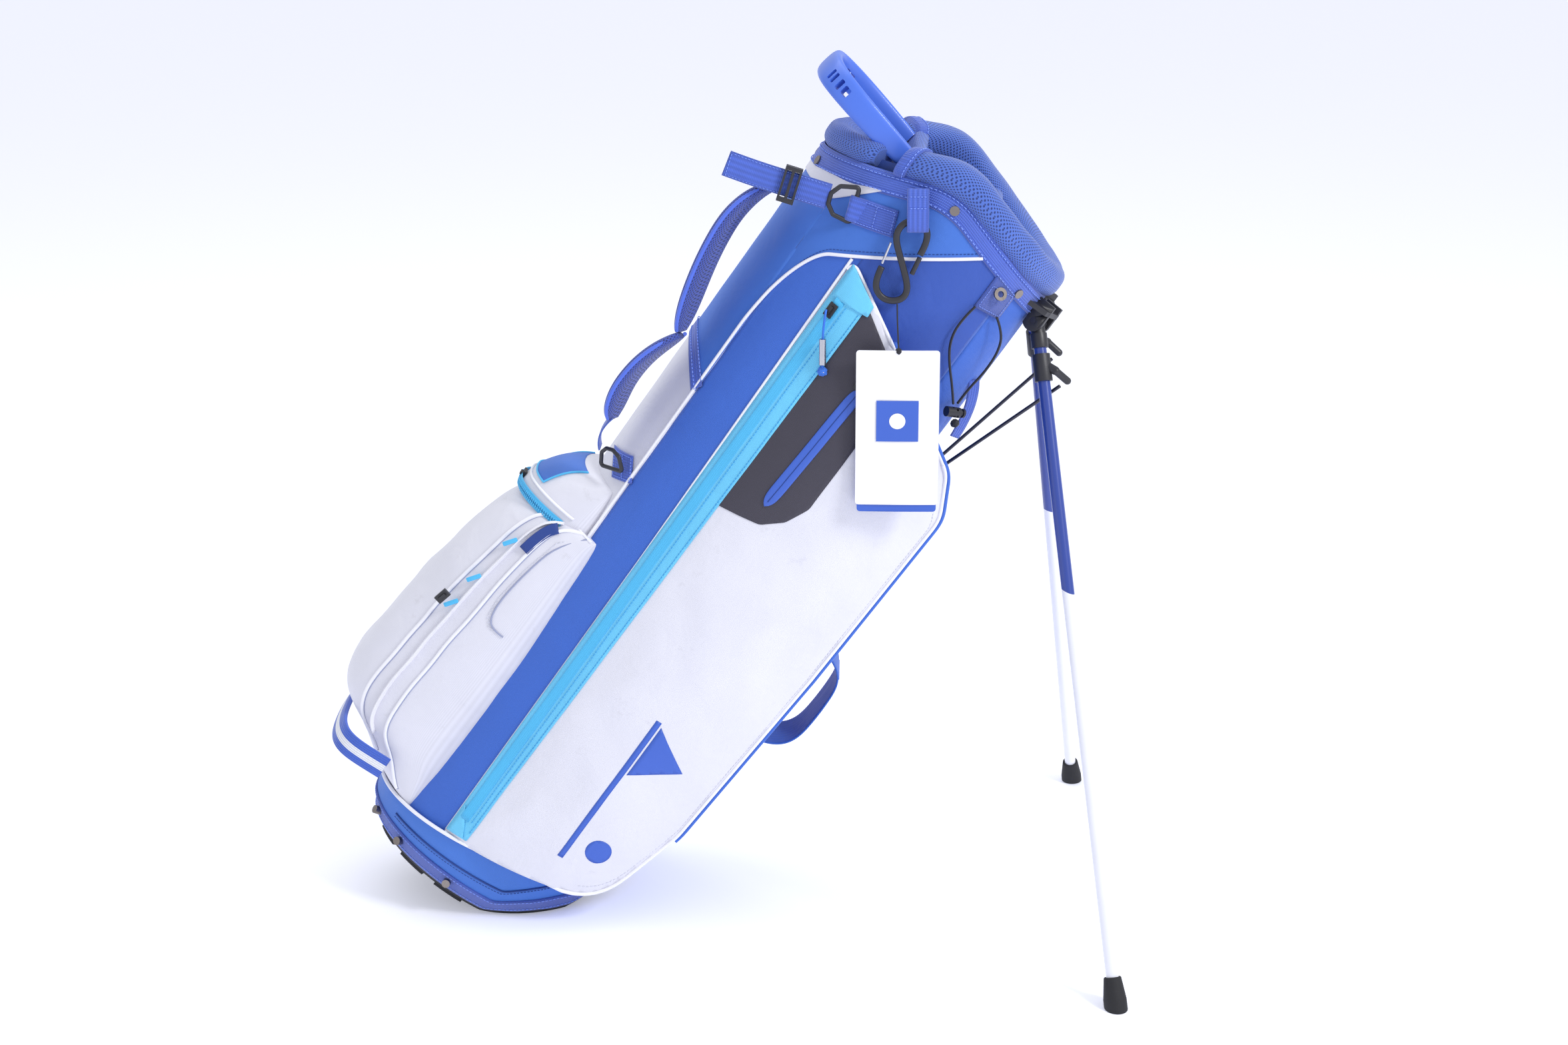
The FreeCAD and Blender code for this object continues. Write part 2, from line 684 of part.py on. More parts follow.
def zip_chains():
    """The straight toothed chains of the five zips."""
    chains = [
        strip_on_pocket(GARMENT_ZIP_A, 8, *GARMENT_ZIP_H, 0.5, 2.6),
        strip_on_pocket(VALUABLES_ZIP_A, 9, *VALUABLES_ZIP_H, 3.4, 5.4),
        mirror_b(strip_on_pocket(LEFT_ZIP_A, 8, *LEFT_ZIP_H, -5.7, -3.6)),
        block(ACCESSORY_ZIP[0] - 4.6, ACCESSORY_ZIP[0] - 2.4, -34, 34, ACCESSORY_ZIP[1] - 4, ACCESSORY_ZIP[1] + 4),
    ]
    for start, end in zip(BALL_ZIP, BALL_ZIP[1:]):
        run = V(end[0] - start[0], 0, end[1] - start[1])
        across = V(run.z, 0, -run.x).normalize() * 4
        p = V(start[0], BALL_SIDE_B - 3.4, start[1])
        corners = [p - across, p + across, p + across + run, p - across + run]
        chains.append(Part.Face(Part.makePolygon(corners + corners[:1])).extrude(V(0, 2, 0)))
    return group(chains[:4] + [chains[4].fuse(chains[5])])


def slider_on_pocket(a, h, lift):
    body = strip_on_pocket(a, 8.5, h - 7, h + 7, lift, lift + 3.6)
    bridge = strip_on_pocket(a, 3.0, h - 4, h + 4, lift + 3.6, lift + 5.8)
    return body.fuse(bridge)


BALL_OUTLINE = [(-112, 391), (-175, 372), (-205, 240), (-217, 124), (-201, 101), (-170, 86), (-150, 62),
                (-112, 50)]


def ball_pocket():
    """Large pouch on the bag's front."""
    side_view = rounded_slab(BALL_OUTLINE, 6, -150, 150)
    section = column([(-90, -66), (-101, -74), (-196, -79), (-230, -52), (-230, 52), (-196, 79),
                      (-101, 74), (-90, 66)], 0, 500)
    pouch = side_view.common(section).cut(oval_column(BODY_A + 0.4, BODY_B + 0.4, -5, 905))
    cup = oval_column(CUP_A + 2.2, CUP_B + 2.2, -20, 300).common(under_cup_top(-0.4))
    cup = cup.fuse(block(-300, 0, -200, 200, -50, 30))
    pouch = pouch.cut(cup)
    return max(pouch.Solids, key=lambda solid: solid.Volume)


def accessory_pocket():
    outline = [(-110, 392.2), (-173, 373.2), (-178, 381), (-152, 427), (-110, 446)]
    side_view = rounded_slab(outline, 3, -150, 150)
    section = column([(-90, -62), (-150, -62), (-185, -38), (-185, 38), (-150, 62), (-90, 62)], 0, 600)
    pouch = side_view.common(section).cut(oval_column(BODY_A + 0.4, BODY_B + 0.4, -5, 905))
    return max(pouch.Solids, key=lambda solid: solid.Volume)


def left_pocket():
    """Pocket on the bag's left side, opposite the garment pocket."""
    outline = rounded_slab([(-30, 100), (-30, 560), (112, 560), (130, 520), (134, 200), (112, 104)], 14, -200, 0)
    pocket = pocket_side(-6).common(outline)
    cup = oval_column(CUP_A + 2.2, CUP_B + 2.2, -20, 300).common(under_cup_top(-0.4))
    return mirror_b(pocket.cut(cup))


# ---------------------------------------------------------------- spine
def hip_pad():
    """Padded cover over the push rods, with a channel for them."""
    pad = rounded_slab([(120, 200), (152, 212), (156, 500), (146, 540), (120, 545)], 5, -24, 24)
    pad = pad.cut(oval_column(BODY_A + 0.4, BODY_B + 0.4, 0, 900))
    return pad.cut(block(100, ROD_A + 5, -ROD_B - 5, ROD_B + 5, 100, 700))


def cart_loop():
    """Webbing loop that stands off the hip pad, for a cart's strap."""
    outline = [(157, 300), (180, 306), (194, 326), (194, 394), (180, 410), (157, 415)]
    return ribbon([V(a, -30, h) for a, h in outline], 2.4, V(0, 60, 0))


# ---------------------------------------------------------------- carrying strap
STRAP_B = -88.0                  # plane of the upper webbing, which lies flat to the bag's right side
UPPER_RING = V(-94, STRAP_B, 803)
LOWER_RING = V(-127, -57, 462)
GLIDE = V(-140, STRAP_B, 788.1)


WEBBING_SLOPE = 0.32


def upper_webbing():
    """Webbing from the upper ring through the slide buckle to its free tail."""
    along = V(-1, 0, -WEBBING_SLOPE).normalize()
    across = V(-along.z, 0, along.x) * (STRAP_W / 2 - 0.3)
    ring_end, tail = V(-106, STRAP_B, 799), V(-198, STRAP_B, 799 - 92 * WEBBING_SLOPE)
    corners = [ring_end + across, tail + across, tail - across, ring_end - across]
    return Part.Face(Part.makePolygon(corners + corners[:1])).extrude(V(0, 1.8, 0))


def lower_webbing():
    outline = [(-146, 500), (-151, 487), (-147, 476), (-138.5, 470.5)]
    return ribbon([V(a, -71, h) for a, h in outline], 1.8, V(0, STRAP_W, 0))


def shoulder_pad():
    outline = [(-143, 776), (-157, 765), (-165, 740), (-164, 705), (-155, 655), (-141, 612)]
    return ribbon([V(a, -83, h) for a, h in outline], 9, V(0, 50, 0))


def waist_pad():
    outline = [(-139, 604), (-150, 580), (-157, 552), (-155, 522), (-148, 503)]
    return ribbon([V(a, -83, h) for a, h in outline], 8, V(0, 50, 0))


def d_ring(centre, pull, normal, straight, depth, radius):
    """Ring with a straight bar at centre and a rounded bow on the pull side."""
    side = normal.cross(pull).normalize() * (straight / 2)
    bow = pull * depth
    points = [centre, centre + side, centre + side * 0.8 + bow * 0.72, centre + side * 0.3 + bow]
    points += [centre - side * 0.3 + bow, centre - side * 0.8 + bow * 0.72, centre - side, centre]
    loop = bent_rod(points, radius, 3.0)
    return loop


def upper_d_ring():
    pull = V(-0.94, 0, -0.34)
    return d_ring(UPPER_RING + V(14, 0, 4), pull, V(0, 1, 0), 34, 24, 2.2)


def lower_d_ring():
    return d_ring(LOWER_RING + V(8, 0, -4), V(-0.62, -0.1, 0.78).normalize(), V(0.5, 0.78, 0.5), 30, 20, 2.0)


def tri_glide():
    """Slide buckle: a frame with a middle bar, the webbing threaded through."""
    outer = Part.makeBox(16, 7.4, 34, V(-8, -4.6, -17))
    window = Part.makeBox(4.6, 12, 26.6, V(-5.9, -6, -13.3))
    window2 = Part.makeBox(4.6, 12, 26.6, V(1.3, -6, -13.3))
    channel = Part.makeBox(20, 2.6, 25.8, V(-10, -0.5, -12.9))
    frame = outer.cut(window).cut(window2).cut(channel)
    frame.rotate(V(0, 0, 0), V(0, 1, 0), -math.degrees(math.atan(WEBBING_SLOPE)))
    frame.translate(GLIDE)
    return frame


def grab_handle():
    """Striped webbing loop low on the front."""
    half = [(-132, 79.6), (-158, 80.4), (-176, 80), (-188, 66), (-192, 40)]
    outline = [(a, -b) for a, b in half] + [(-193, 0)] + list(reversed(half))
    return ribbon([V(a, b, 64) for a, b in outline], 3.2, V(0, 0, 24))


# ---------------------------------------------------------------- tabs, clip, tag and toggle, in the row frame
CLIP = V(373.0, -112.5, 677.0)   # middle of the double-ended clip
CLIP_LEAN = 19.0
CLIP_R = 2.6
TAG_TOP = V(372.0, -135.0, 598.0)
EYELET = V(464.2, -83.4, 639.2)
EYELET_OUT = V(0.35, -0.90, 0.27)
TOGGLE = V(426.0, -66.0, 521.0)
LEFT_STRAND = [V(443, -94, 630), V(429, -98, 617), V(420, -97, 598), V(420, -89, 575), V(424, -77, 549),
               V(425.5, -69, 530)]
RIGHT_STRAND = [V(464, -81, 617), V(470, -76, 601), V(467, -71, 582), V(455, -70, 562), V(439, -69, 544),
                V(429.5, -68, 530)]


def clip_point(u, v):
    """Point on the clip: u across it, v up it."""
    c, s = math.cos(math.radians(CLIP_LEAN)), math.sin(math.radians(CLIP_LEAN))
    return CLIP + V(u * c + v * s, 0, -u * s + v * c)


def clip_frame():
    outline = [(16, 12), (16, 36), (-8, 37), (-13, 17), (13, -15), (15, -34), (-12, -37), (-15, -11)]
    return bent_rod([clip_point(u, v) for u, v in outline], CLIP_R, 6.2)


def clip_upper_gate():
    return bar(clip_point(15.6, 8.6), clip_point(13.9, -8.4), 2.3)


def clip_lower_gate():
    wires = []
    for shift in (-1.5, 1.5):
        lift = V(0, shift, 0)
        wires.append(bar(clip_point(-15.2, -7.6) + lift, clip_point(-14.2, 13) + lift, 1.0))
    wires.append(bar(wires[0].CenterOfMass, wires[1].CenterOfMass, 0.9))
    return wires[0].fuse(wires[1]).fuse(wires[2])


def clip_bar():
    """Where the clip's top bar passes through its webbing loop."""
    return clip_point(3.5, 36.6)


def body_surface_tab(a0, a1, h0, h1, thickness):
    """Flat patch of webbing sewn on the body, between two values of a and of h."""
    skin = oval_ring(BODY_A + 0.3 + thickness, BODY_B + 0.3 + thickness, thickness, h0, h1)
    return lean(skin.common(block(a0, a1, -130, 0, h0 - 1, h1 + 1)))


def eyelet_tab():
    return body_surface_tab(66, 90, 797, 822, 1.8).common(lean(under_roof(-0.3)))


def clip_hanger():
    """Webbing folded round the clip's top bar, both ends sewn under the collar trim."""
    hang = clip_bar()
    half_width, inner, outer = 5.4, 5.4, 7.0
    start = V(hang.x - half_width, hang.y, hang.z)
    fold = Part.makeCylinder(outer, 2 * half_width, start, V(1, 0, 0))
    fold = fold.cut(Part.makeCylinder(inner, 2 * half_width, start, V(1, 0, 0)))
    fold = fold.cut(Part.makeBox(40, 40, 20, V(start.x - 10, start.y - 20, start.z)))
    rear = Part.makeBox(2 * half_width, outer - inner, 30, V(start.x, start.y + inner, start.z))
    front = [(outer, 0), (inner, 0), (inner, 7), (-3.4, 27), (-1.8, 27), (outer, 7)]
    front = [V(start.x, start.y - y, start.z + z) for y, z in front]
    front = Part.Face(Part.makePolygon(front + front[:1])).extrude(V(2 * half_width, 0, 0))
    return fold.fuse(rear).fuse(front)


def sewn_tabs():
    """Webbing tabs and patches that hold the rings, the clip, the eyelet and the elastic."""
    ring_patch = body_surface_tab(-72.4, -50, 795, 820, 1.8)
    lower_patch = body_surface_tab(-121, -98, 452, 474, 1.8)
    anchor_line = [V(445.5, -52, 546), V(446, -52, 532), V(440, -52, 512), V(428, -52, 492)]
    anchor = ribbon(anchor_line, 1.8, V(0, 10, 0))
    return group([ring_patch, lower_patch, eyelet_tab(), clip_hanger(), anchor])


def eyelet():
    out = EYELET_OUT.normalize()
    ring = Part.makeCylinder(6.2, 2.2, EYELET + out * 5.2, out)
    return ring.cut(Part.makeCylinder(3.0, 12, EYELET - out * 2, out))


def cord_toggle():
    """Barrel of the toggle, lying across the two strands."""
    axis = V(0.83, 0.5, -0.24).normalize()
    start = TOGGLE - axis * 8.5
    barrel = Part.makeCylinder(5.0, 15, start, axis)
    barrel = barrel.cut(Part.makeCylinder(3.4, 8, TOGGLE + axis * 1.2, axis))
    for x in (425.5, 429.5):
        barrel = barrel.cut(Part.makeCylinder(1.5, 30, V(x, TOGGLE.y - 1.5, TOGGLE.z - 15), V(0, 0, 1)))
    return barrel


def toggle_button():
    axis = V(0.83, 0.5, -0.24).normalize()
    stem = Part.makeCylinder(3.1, 7.2, TOGGLE + axis * 4.2, axis)
    cap = Part.makeCylinder(4.4, 2.2, TOGGLE + axis * 9.6, axis)
    return stem.fuse(cap)


def elastic_loop():
    """The two visible strands of the elastic, from the eyelet tab to the toggle."""
    knot = Part.makeSphere(4.2, V(427.5, -67.5, 510.5))
    return group([cord(LEFT_STRAND, CORD_R), cord(RIGHT_STRAND, CORD_R), knot])


PULL_CORD = [V(305.0, -109.4, 630.0), V(303.4, -114, 621), V(302.2, -116.4, 610), V(301.9, -118, 594),
             V(301.8, -119, 577)]
TAG_STRING = [V(370.4, -113, 636.6), V(370.6, -118, 622), V(371.4, -126, 609), V(372.0, -134.0, 597)]


def tag_string():
    return cord(TAG_STRING, 0.75)


def tag_cards():
    """Two stiff paper cards, the back one a little lower."""
    front = Part.makeBox(77, 1.0, 148, V(TAG_TOP.x - 39, TAG_TOP.y - 1.2, TAG_TOP.z - 148))
    back = Part.makeBox(75, 1.0, 148, V(TAG_TOP.x - 39, TAG_TOP.y + 0.2, TAG_TOP.z - 155))
    return group([front, back])


def zip_pull():
    """Metal barrel and knot on the garment zip's cord."""
    hang = (PULL_CORD[-2] - PULL_CORD[-1]).normalize()
    barrel = Part.makeCylinder(3.4, 24, PULL_CORD[-1] + hang * 3, hang)
    barrel = barrel.cut(Part.makeCylinder(2.5, 30, PULL_CORD[-1], hang))
    knot = Part.makeSphere(3.4, PULL_CORD[-1] - hang * 3.5)
    return group([barrel, knot])



def zip_pull_cord():
    return cord(PULL_CORD, 1.1)


def build_hardware():
    """Pieces drawn straight in the row frame."""
    return {
        "sewn_tabs": sewn_tabs(),
        "clip_frame": clip_frame(),
        "clip_upper_gate": clip_upper_gate(),
        "clip_lower_gate": clip_lower_gate(),
        "cord_toggle": cord_toggle(),
        "toggle_button": toggle_button(),
        "elastic_loop": elastic_loop(),
        "tag_string": tag_string(),
        "tag_cards": tag_cards(),
        "zip_pull": zip_pull(),
        "zip_pull_cord": zip_pull_cord(),
    }


def side_slider(start, direction, out):
    """Small zip slider lying along direction, standing out of the face along out."""
    across = direction.cross(out).normalize() * 4.2
    foot = start - direction * 7 - across
    corners = [foot, foot + direction * 14, foot + direction * 14 + across * 2, foot + across * 2]
    body = Part.Face(Part.makePolygon(corners + corners[:1])).extrude(out * 3.4)
    spot = start + out * 3.2 - across * 0.35 - direction * 4
    across = across * 0.7
    corners = [spot, spot + direction * 8, spot + direction * 8 + across, spot + across]
    return body.fuse(Part.Face(Part.makePolygon(corners + corners[:1])).extrude(out * 2.4))


def sliders():
    ball_start = V(BALL_ZIP[1][0], BALL_SIDE_B - 3.7, BALL_ZIP[1][1]) + ball_zip_direction() * 24
    accessory_start = V(ACCESSORY_ZIP[0] - 4.9, 0, ACCESSORY_ZIP[1])
    return {
        "garment_zip_slider": slider_on_pocket(GARMENT_ZIP_A, 717, 2.8),
        "valuables_zip_slider": slider_on_pocket(VALUABLES_ZIP_A, 680, 5.6),
        "left_zip_slider": mirror_b(slider_on_pocket(LEFT_ZIP_A, 500, -3.4)),
        "ball_zip_slider": side_slider(ball_start, ball_zip_direction(), V(0, -1, 0)),
        "accessory_zip_slider": side_slider(accessory_start, V(0, 1, 0), V(-1, 0, 0)),
    }


def build_structure():
    parts = dict(body_panels())
    parts["body_stays"] = body_stays()
    parts["base_cup"] = base_cup()
    parts["base_sole"] = base_sole()
    parts["base_trim"] = base_trim()
    parts["mouth_ring"] = mouth_ring()
    parts["collar_trim"] = collar_trim()
    parts["collar_pad"] = collar()
    parts["dividers"] = dividers()
    parts["lift_handle"] = lift_handle()
    parts["handle_cuffs"] = group(handle_roots())
    parts["leg_bracket"] = leg_bracket()
    parts["hinge_pins"] = hinge_pins()
    parts["toe_plate"] = toe_plate()
    parts["push_rods"] = push_rods()
    parts["right_link"] = link(-1)
    parts["left_link"] = link(1)
    parts["garment_pocket"] = garment_pocket()
    parts["valuables_pocket"] = valuables_pocket()
    parts["ball_pocket"] = ball_pocket()
    parts["accessory_pocket"] = accessory_pocket()
    parts["left_pocket"] = left_pocket()
    parts["zip_chains"] = zip_chains()
    parts["hip_pad"] = hip_pad()
    parts["cart_loop"] = cart_loop()
    parts["strap_webbing"] = group([upper_webbing(), lower_webbing()])
    parts["shoulder_pad"] = shoulder_pad()
    parts["waist_pad"] = waist_pad()
    parts["upper_d_ring"] = upper_d_ring()
    parts["lower_d_ring"] = lower_d_ring()
    parts["tri_glide"] = tri_glide()
    parts["grab_handle"] = grab_handle()
    parts.update(sliders())
    return {name: lean(shape) for name, shape in parts.items()}


def main():
    parts = build_structure()
    parts.update(build_hardware())
    parts["rivets"] = group([lean(rivet) for rivet in base_rivets() + mouth_rivets()] + [eyelet()])
    for side in (-1, 1):
        parts.update(leg_pieces(side))
    os.makedirs("parts", exist_ok=True)
    for name, shape in parts.items():
        solids = len(shape.Solids)
        print("%-22s solids %d valid %s volume %9.0f" % (name, solids, shape.isValid(), shape.Volume))
        shape.exportStep("parts/" + name + ".step")
    print("nodes", len(parts))


main()
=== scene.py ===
import json
import math

import bmesh
import bpy
from mathutils import Matrix, Vector, noise


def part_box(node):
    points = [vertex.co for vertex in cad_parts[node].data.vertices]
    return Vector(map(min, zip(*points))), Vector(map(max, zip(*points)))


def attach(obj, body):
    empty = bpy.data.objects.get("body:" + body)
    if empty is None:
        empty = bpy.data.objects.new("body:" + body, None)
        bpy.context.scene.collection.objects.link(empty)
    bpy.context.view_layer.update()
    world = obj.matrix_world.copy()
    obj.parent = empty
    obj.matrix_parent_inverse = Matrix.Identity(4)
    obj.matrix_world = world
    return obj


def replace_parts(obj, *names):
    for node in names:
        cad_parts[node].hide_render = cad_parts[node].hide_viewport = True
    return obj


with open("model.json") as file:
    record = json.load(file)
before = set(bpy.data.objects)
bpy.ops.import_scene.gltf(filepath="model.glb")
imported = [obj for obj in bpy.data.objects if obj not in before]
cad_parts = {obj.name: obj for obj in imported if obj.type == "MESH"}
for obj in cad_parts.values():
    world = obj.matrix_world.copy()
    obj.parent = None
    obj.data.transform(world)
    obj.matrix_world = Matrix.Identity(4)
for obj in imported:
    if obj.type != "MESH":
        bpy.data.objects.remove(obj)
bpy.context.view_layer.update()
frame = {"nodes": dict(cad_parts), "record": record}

# A golf stand bag.  Soft pieces are drawn in the bag's own frame in millimetres (a across the bag
# towards the legs, b across to its left, h up from its flat bottom) and leaned over at the end.

MM = 0.001
TILT = math.radians(35)
HEEL_A, REST_LENGTH = 29.0, 86.0
MIDDLE_A = HEEL_A + REST_LENGTH / 2 * math.cos(TILT)
MIDDLE_H = REST_LENGTH / 2 * math.sin(TILT)
LEAN = Matrix.Scale(MM, 4) @ Matrix.Rotation(TILT, 4, "Y") @ Matrix.Translation((-MIDDLE_A, 0, -MIDDLE_H))

BODY_A, BODY_B = 127.0, 104.0
SEAM_FRONT_A, SEAM_BACK_A = -97.0, 84.0
CUP_SECTIONS = [(0, 102, 80), (9, 112, 89), (26, 123, 99.5), (46, 129, 106), (66, 131, 108)]
CUP_TOP_H, CUP_TOP_SLOPE = 70.5, 0.187
SOLE_T = 8.0
RIDGE_A, RIDGE_H = -12.0, 854.0
FRONT_SLOPE, BACK_SLOPE = 0.44, 0.345
TRIM_W = 23.0
POCKET_A, POCKET_B, POCKET_R = 43.0, 76.0, 196.4
YOKE_LEVEL = 677.0               # height above the ground of the yoke's level seam
PAINT_SPLIT = 0.55095            # height of the legs' colour change where x is 0, in metres
PAINT_SLANT = 0.35               # how much lower it lies for each metre of x
COLLAR_A, COLLAR_B = 115.0, 92.0 # centre line of the padded collar
ROLL_END = math.acos(-62 / COLLAR_A)
FRONT_ROLL_END = math.acos(-80 / COLLAR_A)
QUARTER_LOW = 560                # lower edge of the painted shade cloth behind the side pockets, darker where the side turns from the light
STRAP_SLOPE = 0.32               # fall of the upper webbing towards the front
SIDES = ((-1, "right"), (1, "left"))
DOWN, BLACK = Vector((0, 0, -1)), [0.0, 0.0, 0.0, 1.0]


# ---------------------------------------------------------------- surfaces of the bag
def roof(a):
    """Lower edge of the trim round the mouth: two slopes that meet at a rounded ridge."""
    d = a - RIDGE_A
    if abs(d) < 26:
        return RIDGE_H - 5.1 + 0.0475 * d - 0.00755 * d * d
    return RIDGE_H + (FRONT_SLOPE if d < 0 else -BACK_SLOPE) * d


def on_oval(turn, h, lift=0.0):
    return Vector(((BODY_A + lift) * math.cos(turn), (BODY_B + lift) * math.sin(turn), h))


def turn_at(a, side):
    """Angle round the oval at a; side is -1 for the bag's right and 1 for its left."""
    return side * math.acos(max(-1.0, min(1.0, a / BODY_A)))


def on_side(a, h, lift=0.0, side=-1):
    return on_oval(turn_at(a, side), h, lift)


def on_pocket(a, h, lift=0.0, side=-1):
    """Point on the curved face of a side pocket."""
    reach = POCKET_R + lift
    return Vector((a, side * (math.sqrt(reach ** 2 - (a - POCKET_A) ** 2) - POCKET_B), h))


def level(a, z):
    """Where a level line at height z above the ground crosses the bag at a."""
    return MIDDLE_H + (z + (a - MIDDLE_A) * math.sin(TILT)) / math.cos(TILT)


def yoke_edge(a):
    """Lower edge of the upper side panel: level, then a round corner down to the front seam."""
    line = level(a, YOKE_LEVEL)
    past = max(0.0, min(1.0, (-71 - a) / 27.5))
    return line - 87 * (1 - math.sqrt(1 - past * past))


def cup_top(a):
    return CUP_TOP_H + CUP_TOP_SLOPE * a


def underside(a):
    """Flat bottom, the bevel that rests on the ground, then a steeper bevel."""
    toe_a = HEEL_A + REST_LENGTH * math.cos(TILT)
    toe_h = REST_LENGTH * math.sin(TILT)
    if a < HEEL_A:
        return 0.0
    if a < toe_a:
        return (a - HEEL_A) * math.tan(TILT)
    return toe_h + (a - toe_a) * math.tan(math.radians(58))


def cup_half(h):
    for (h0, a0, b0), (h1, a1, b1) in zip(CUP_SECTIONS, CUP_SECTIONS[1:]):
        if h <= h1:
            share = max(0.0, h - h0) / (h1 - h0)
            return a0 + (a1 - a0) * share, b0 + (b1 - b0) * share
    return CUP_SECTIONS[-1][1:]


def on_cup(turn, h, lift=0.0):
    half_a, half_b = cup_half(h)
    return Vector(((half_a + lift) * math.cos(turn), (half_b + lift) * math.sin(turn), h))


def cup_bottom(turn):
    """Height at which the cup meets the sole."""
    h = 0.0
    for _ in range(12):
        h = underside(cup_half(h)[0] * math.cos(turn)) + SOLE_T
    return min(h, cup_top(cup_half(h)[0] * math.cos(turn)) - 1)


# ---------------------------------------------------------------- materials
def paint(code):
    """Linear colour of a six-figure hex code."""
    parts = [int(code[i:i + 2], 16) / 255 for i in (0, 2, 4)]
    return [p / 12.92 if p < 0.04045 else ((p + 0.055) / 1.055) ** 2.4 for p in parts] + [1.0]


class Recipe:
    """A material under construction, with short calls for its nodes."""

    def __init__(self, name, roughness, metallic=0.0, sheen=0.0, coat=0.0):
        self.material = bpy.data.materials.new(name)
        self.material.use_nodes = True
        self.tree = self.material.node_tree
        self.shader = self.tree.nodes["Principled BSDF"]
        self.shader.inputs["Roughness"].default_value = roughness
        self.shader.inputs["Metallic"].default_value = metallic
        self.shader.inputs["Sheen Weight"].default_value = sheen
        self.shader.inputs["Coat Weight"].default_value = coat

    def node(self, kind, inputs, **settings):
        made = self.tree.nodes.new("ShaderNode" + kind)
        for key, value in settings.items():
            setattr(made, key, value)
        for key, value in inputs.items():
            if isinstance(value, bpy.types.NodeSocket):
                self.tree.links.new(value, made.inputs[key])
            else:
                made.inputs[key].default_value = value
        return made.outputs[0]

    def math(self, operation, first, second):
        return self.node("Math", {0: first, 1: second}, operation=operation)

    def blend(self, share, first, second):
        made = self.tree.nodes.new("ShaderNodeMix")
        made.data_type = "RGBA"
        for socket, value in ((made.inputs[0], share), (made.inputs[6], first), (made.inputs[7], second)):
            if isinstance(value, bpy.types.NodeSocket):
                self.tree.links.new(value, socket)
            else:
                socket.default_value = value
        return made.outputs[2]

    def place(self, scale=(1, 1, 1), turn=0.0):
        """The object's coordinates, turned upright with the bag's axis."""
        spot = self.tree.nodes.new("ShaderNodeTexCoord").outputs["Object"]
        return self.node("Mapping", {"Vector": spot, "Rotation": (0, turn, 0), "Scale": scale})

    def cloth(self, scale=(1, 1, 1), turn=0.0):
        """The piece's own map, in metres along and across the cloth."""
        spot = self.node("UVMap", {}, uv_map="cloth")
        return self.node("Mapping", {"Vector": spot, "Rotation": (0, 0, turn), "Scale": scale})

    def ribs(self, period, direction, spot):
        return self.node("TexWave", {"Vector": spot, "Scale": 0.314 / period}, bands_direction=direction)

    def bump(self, height, strength, distance, normal=None):
        inputs = {"Height": height, "Strength": strength, "Distance": distance}
        if normal is not None:
            inputs["Normal"] = normal
        return self.node("Bump", inputs)

    def mottled(self, colour, amount, scale, detail=4.0):
        """Colour that wanders a little lighter and darker."""
        cloud = self.node("TexNoise", {"Vector": self.place(), "Scale": scale, "Detail": detail})
        darker = [c * (1 - amount) for c in colour[:3]] + [1.0]
        lighter = [min(1.0, c * (1 + amount)) for c in colour[:3]] + [1.0]
        return self.blend(cloud, darker, lighter)

    def finish(self, colour, normal=None, roughness=None):
        for socket, value in (("Base Color", colour), ("Normal", normal), ("Roughness", roughness)):
            if isinstance(value, bpy.types.NodeSocket):
                self.tree.links.new(value, self.shader.inputs[socket])
            elif value is not None:
                self.shader.inputs[socket].default_value = value
        return self.material


def woven(name, code, weave=0.35, creases=0.25, period=0.0011, roughness=0.62, smudges=0.0):
    """Plain woven polyester: crossing threads, faint creases and a little unevenness of colour."""
    recipe = Recipe(name, roughness, sheen=0.12)
    warp = recipe.ribs(period, "X", recipe.cloth())
    weft = recipe.ribs(period, "Y", recipe.cloth())
    threads = recipe.math("MULTIPLY", warp, weft)
    spot = recipe.place()
    cloud = recipe.node("TexNoise", {"Vector": spot, "Scale": 26.0, "Detail": 3.0, "Distortion": 0.6})
    soft = recipe.bump(cloud, creases, 0.006)
    colour = recipe.mottled(paint(code), 0.07, 14.0)
    if smudges:
        spots = recipe.node("TexNoise", {"Vector": spot, "Scale": 38.0, "Detail": 8.0, "Roughness": 0.7})
        reach = {"Value": spots, "From Min": 0.62, "From Max": 0.78, "To Max": smudges}
        mask = recipe.node("MapRange", reach)
        colour = recipe.blend(mask, colour, paint("8A8580"))
    darker = recipe.blend(recipe.math("MULTIPLY", threads, 0.16), colour, BLACK)
    return recipe.finish(darker, recipe.bump(threads, weave, 0.0004, soft))


def spacer_mesh(name, code, hole_shade_code, period=0.0026):
    """Spacer mesh: a staggered pattern of round holes, each darkened with painted shade."""
    recipe = Recipe(name, 0.7, sheen=0.25)
    spot = recipe.cloth(turn=math.radians(45))
    cells = recipe.node("TexVoronoi", {"Vector": spot, "Scale": 1 / period, "Randomness": 0.0},
                        voronoi_dimensions="2D")
    hole = recipe.node("MapRange", {"Value": cells, "From Min": 0.36, "From Max": 0.18}, clamp=True)
    # painted shade: the sunken holes are blended to a dark blue, standing in for the shade inside them
    colour = recipe.blend(hole, recipe.mottled(paint(code), 0.08, 20.0), paint(hole_shade_code))
    lifted = recipe.math("SUBTRACT", 1.0, hole)
    return recipe.finish(colour, recipe.bump(lifted, 0.8, 0.0009))


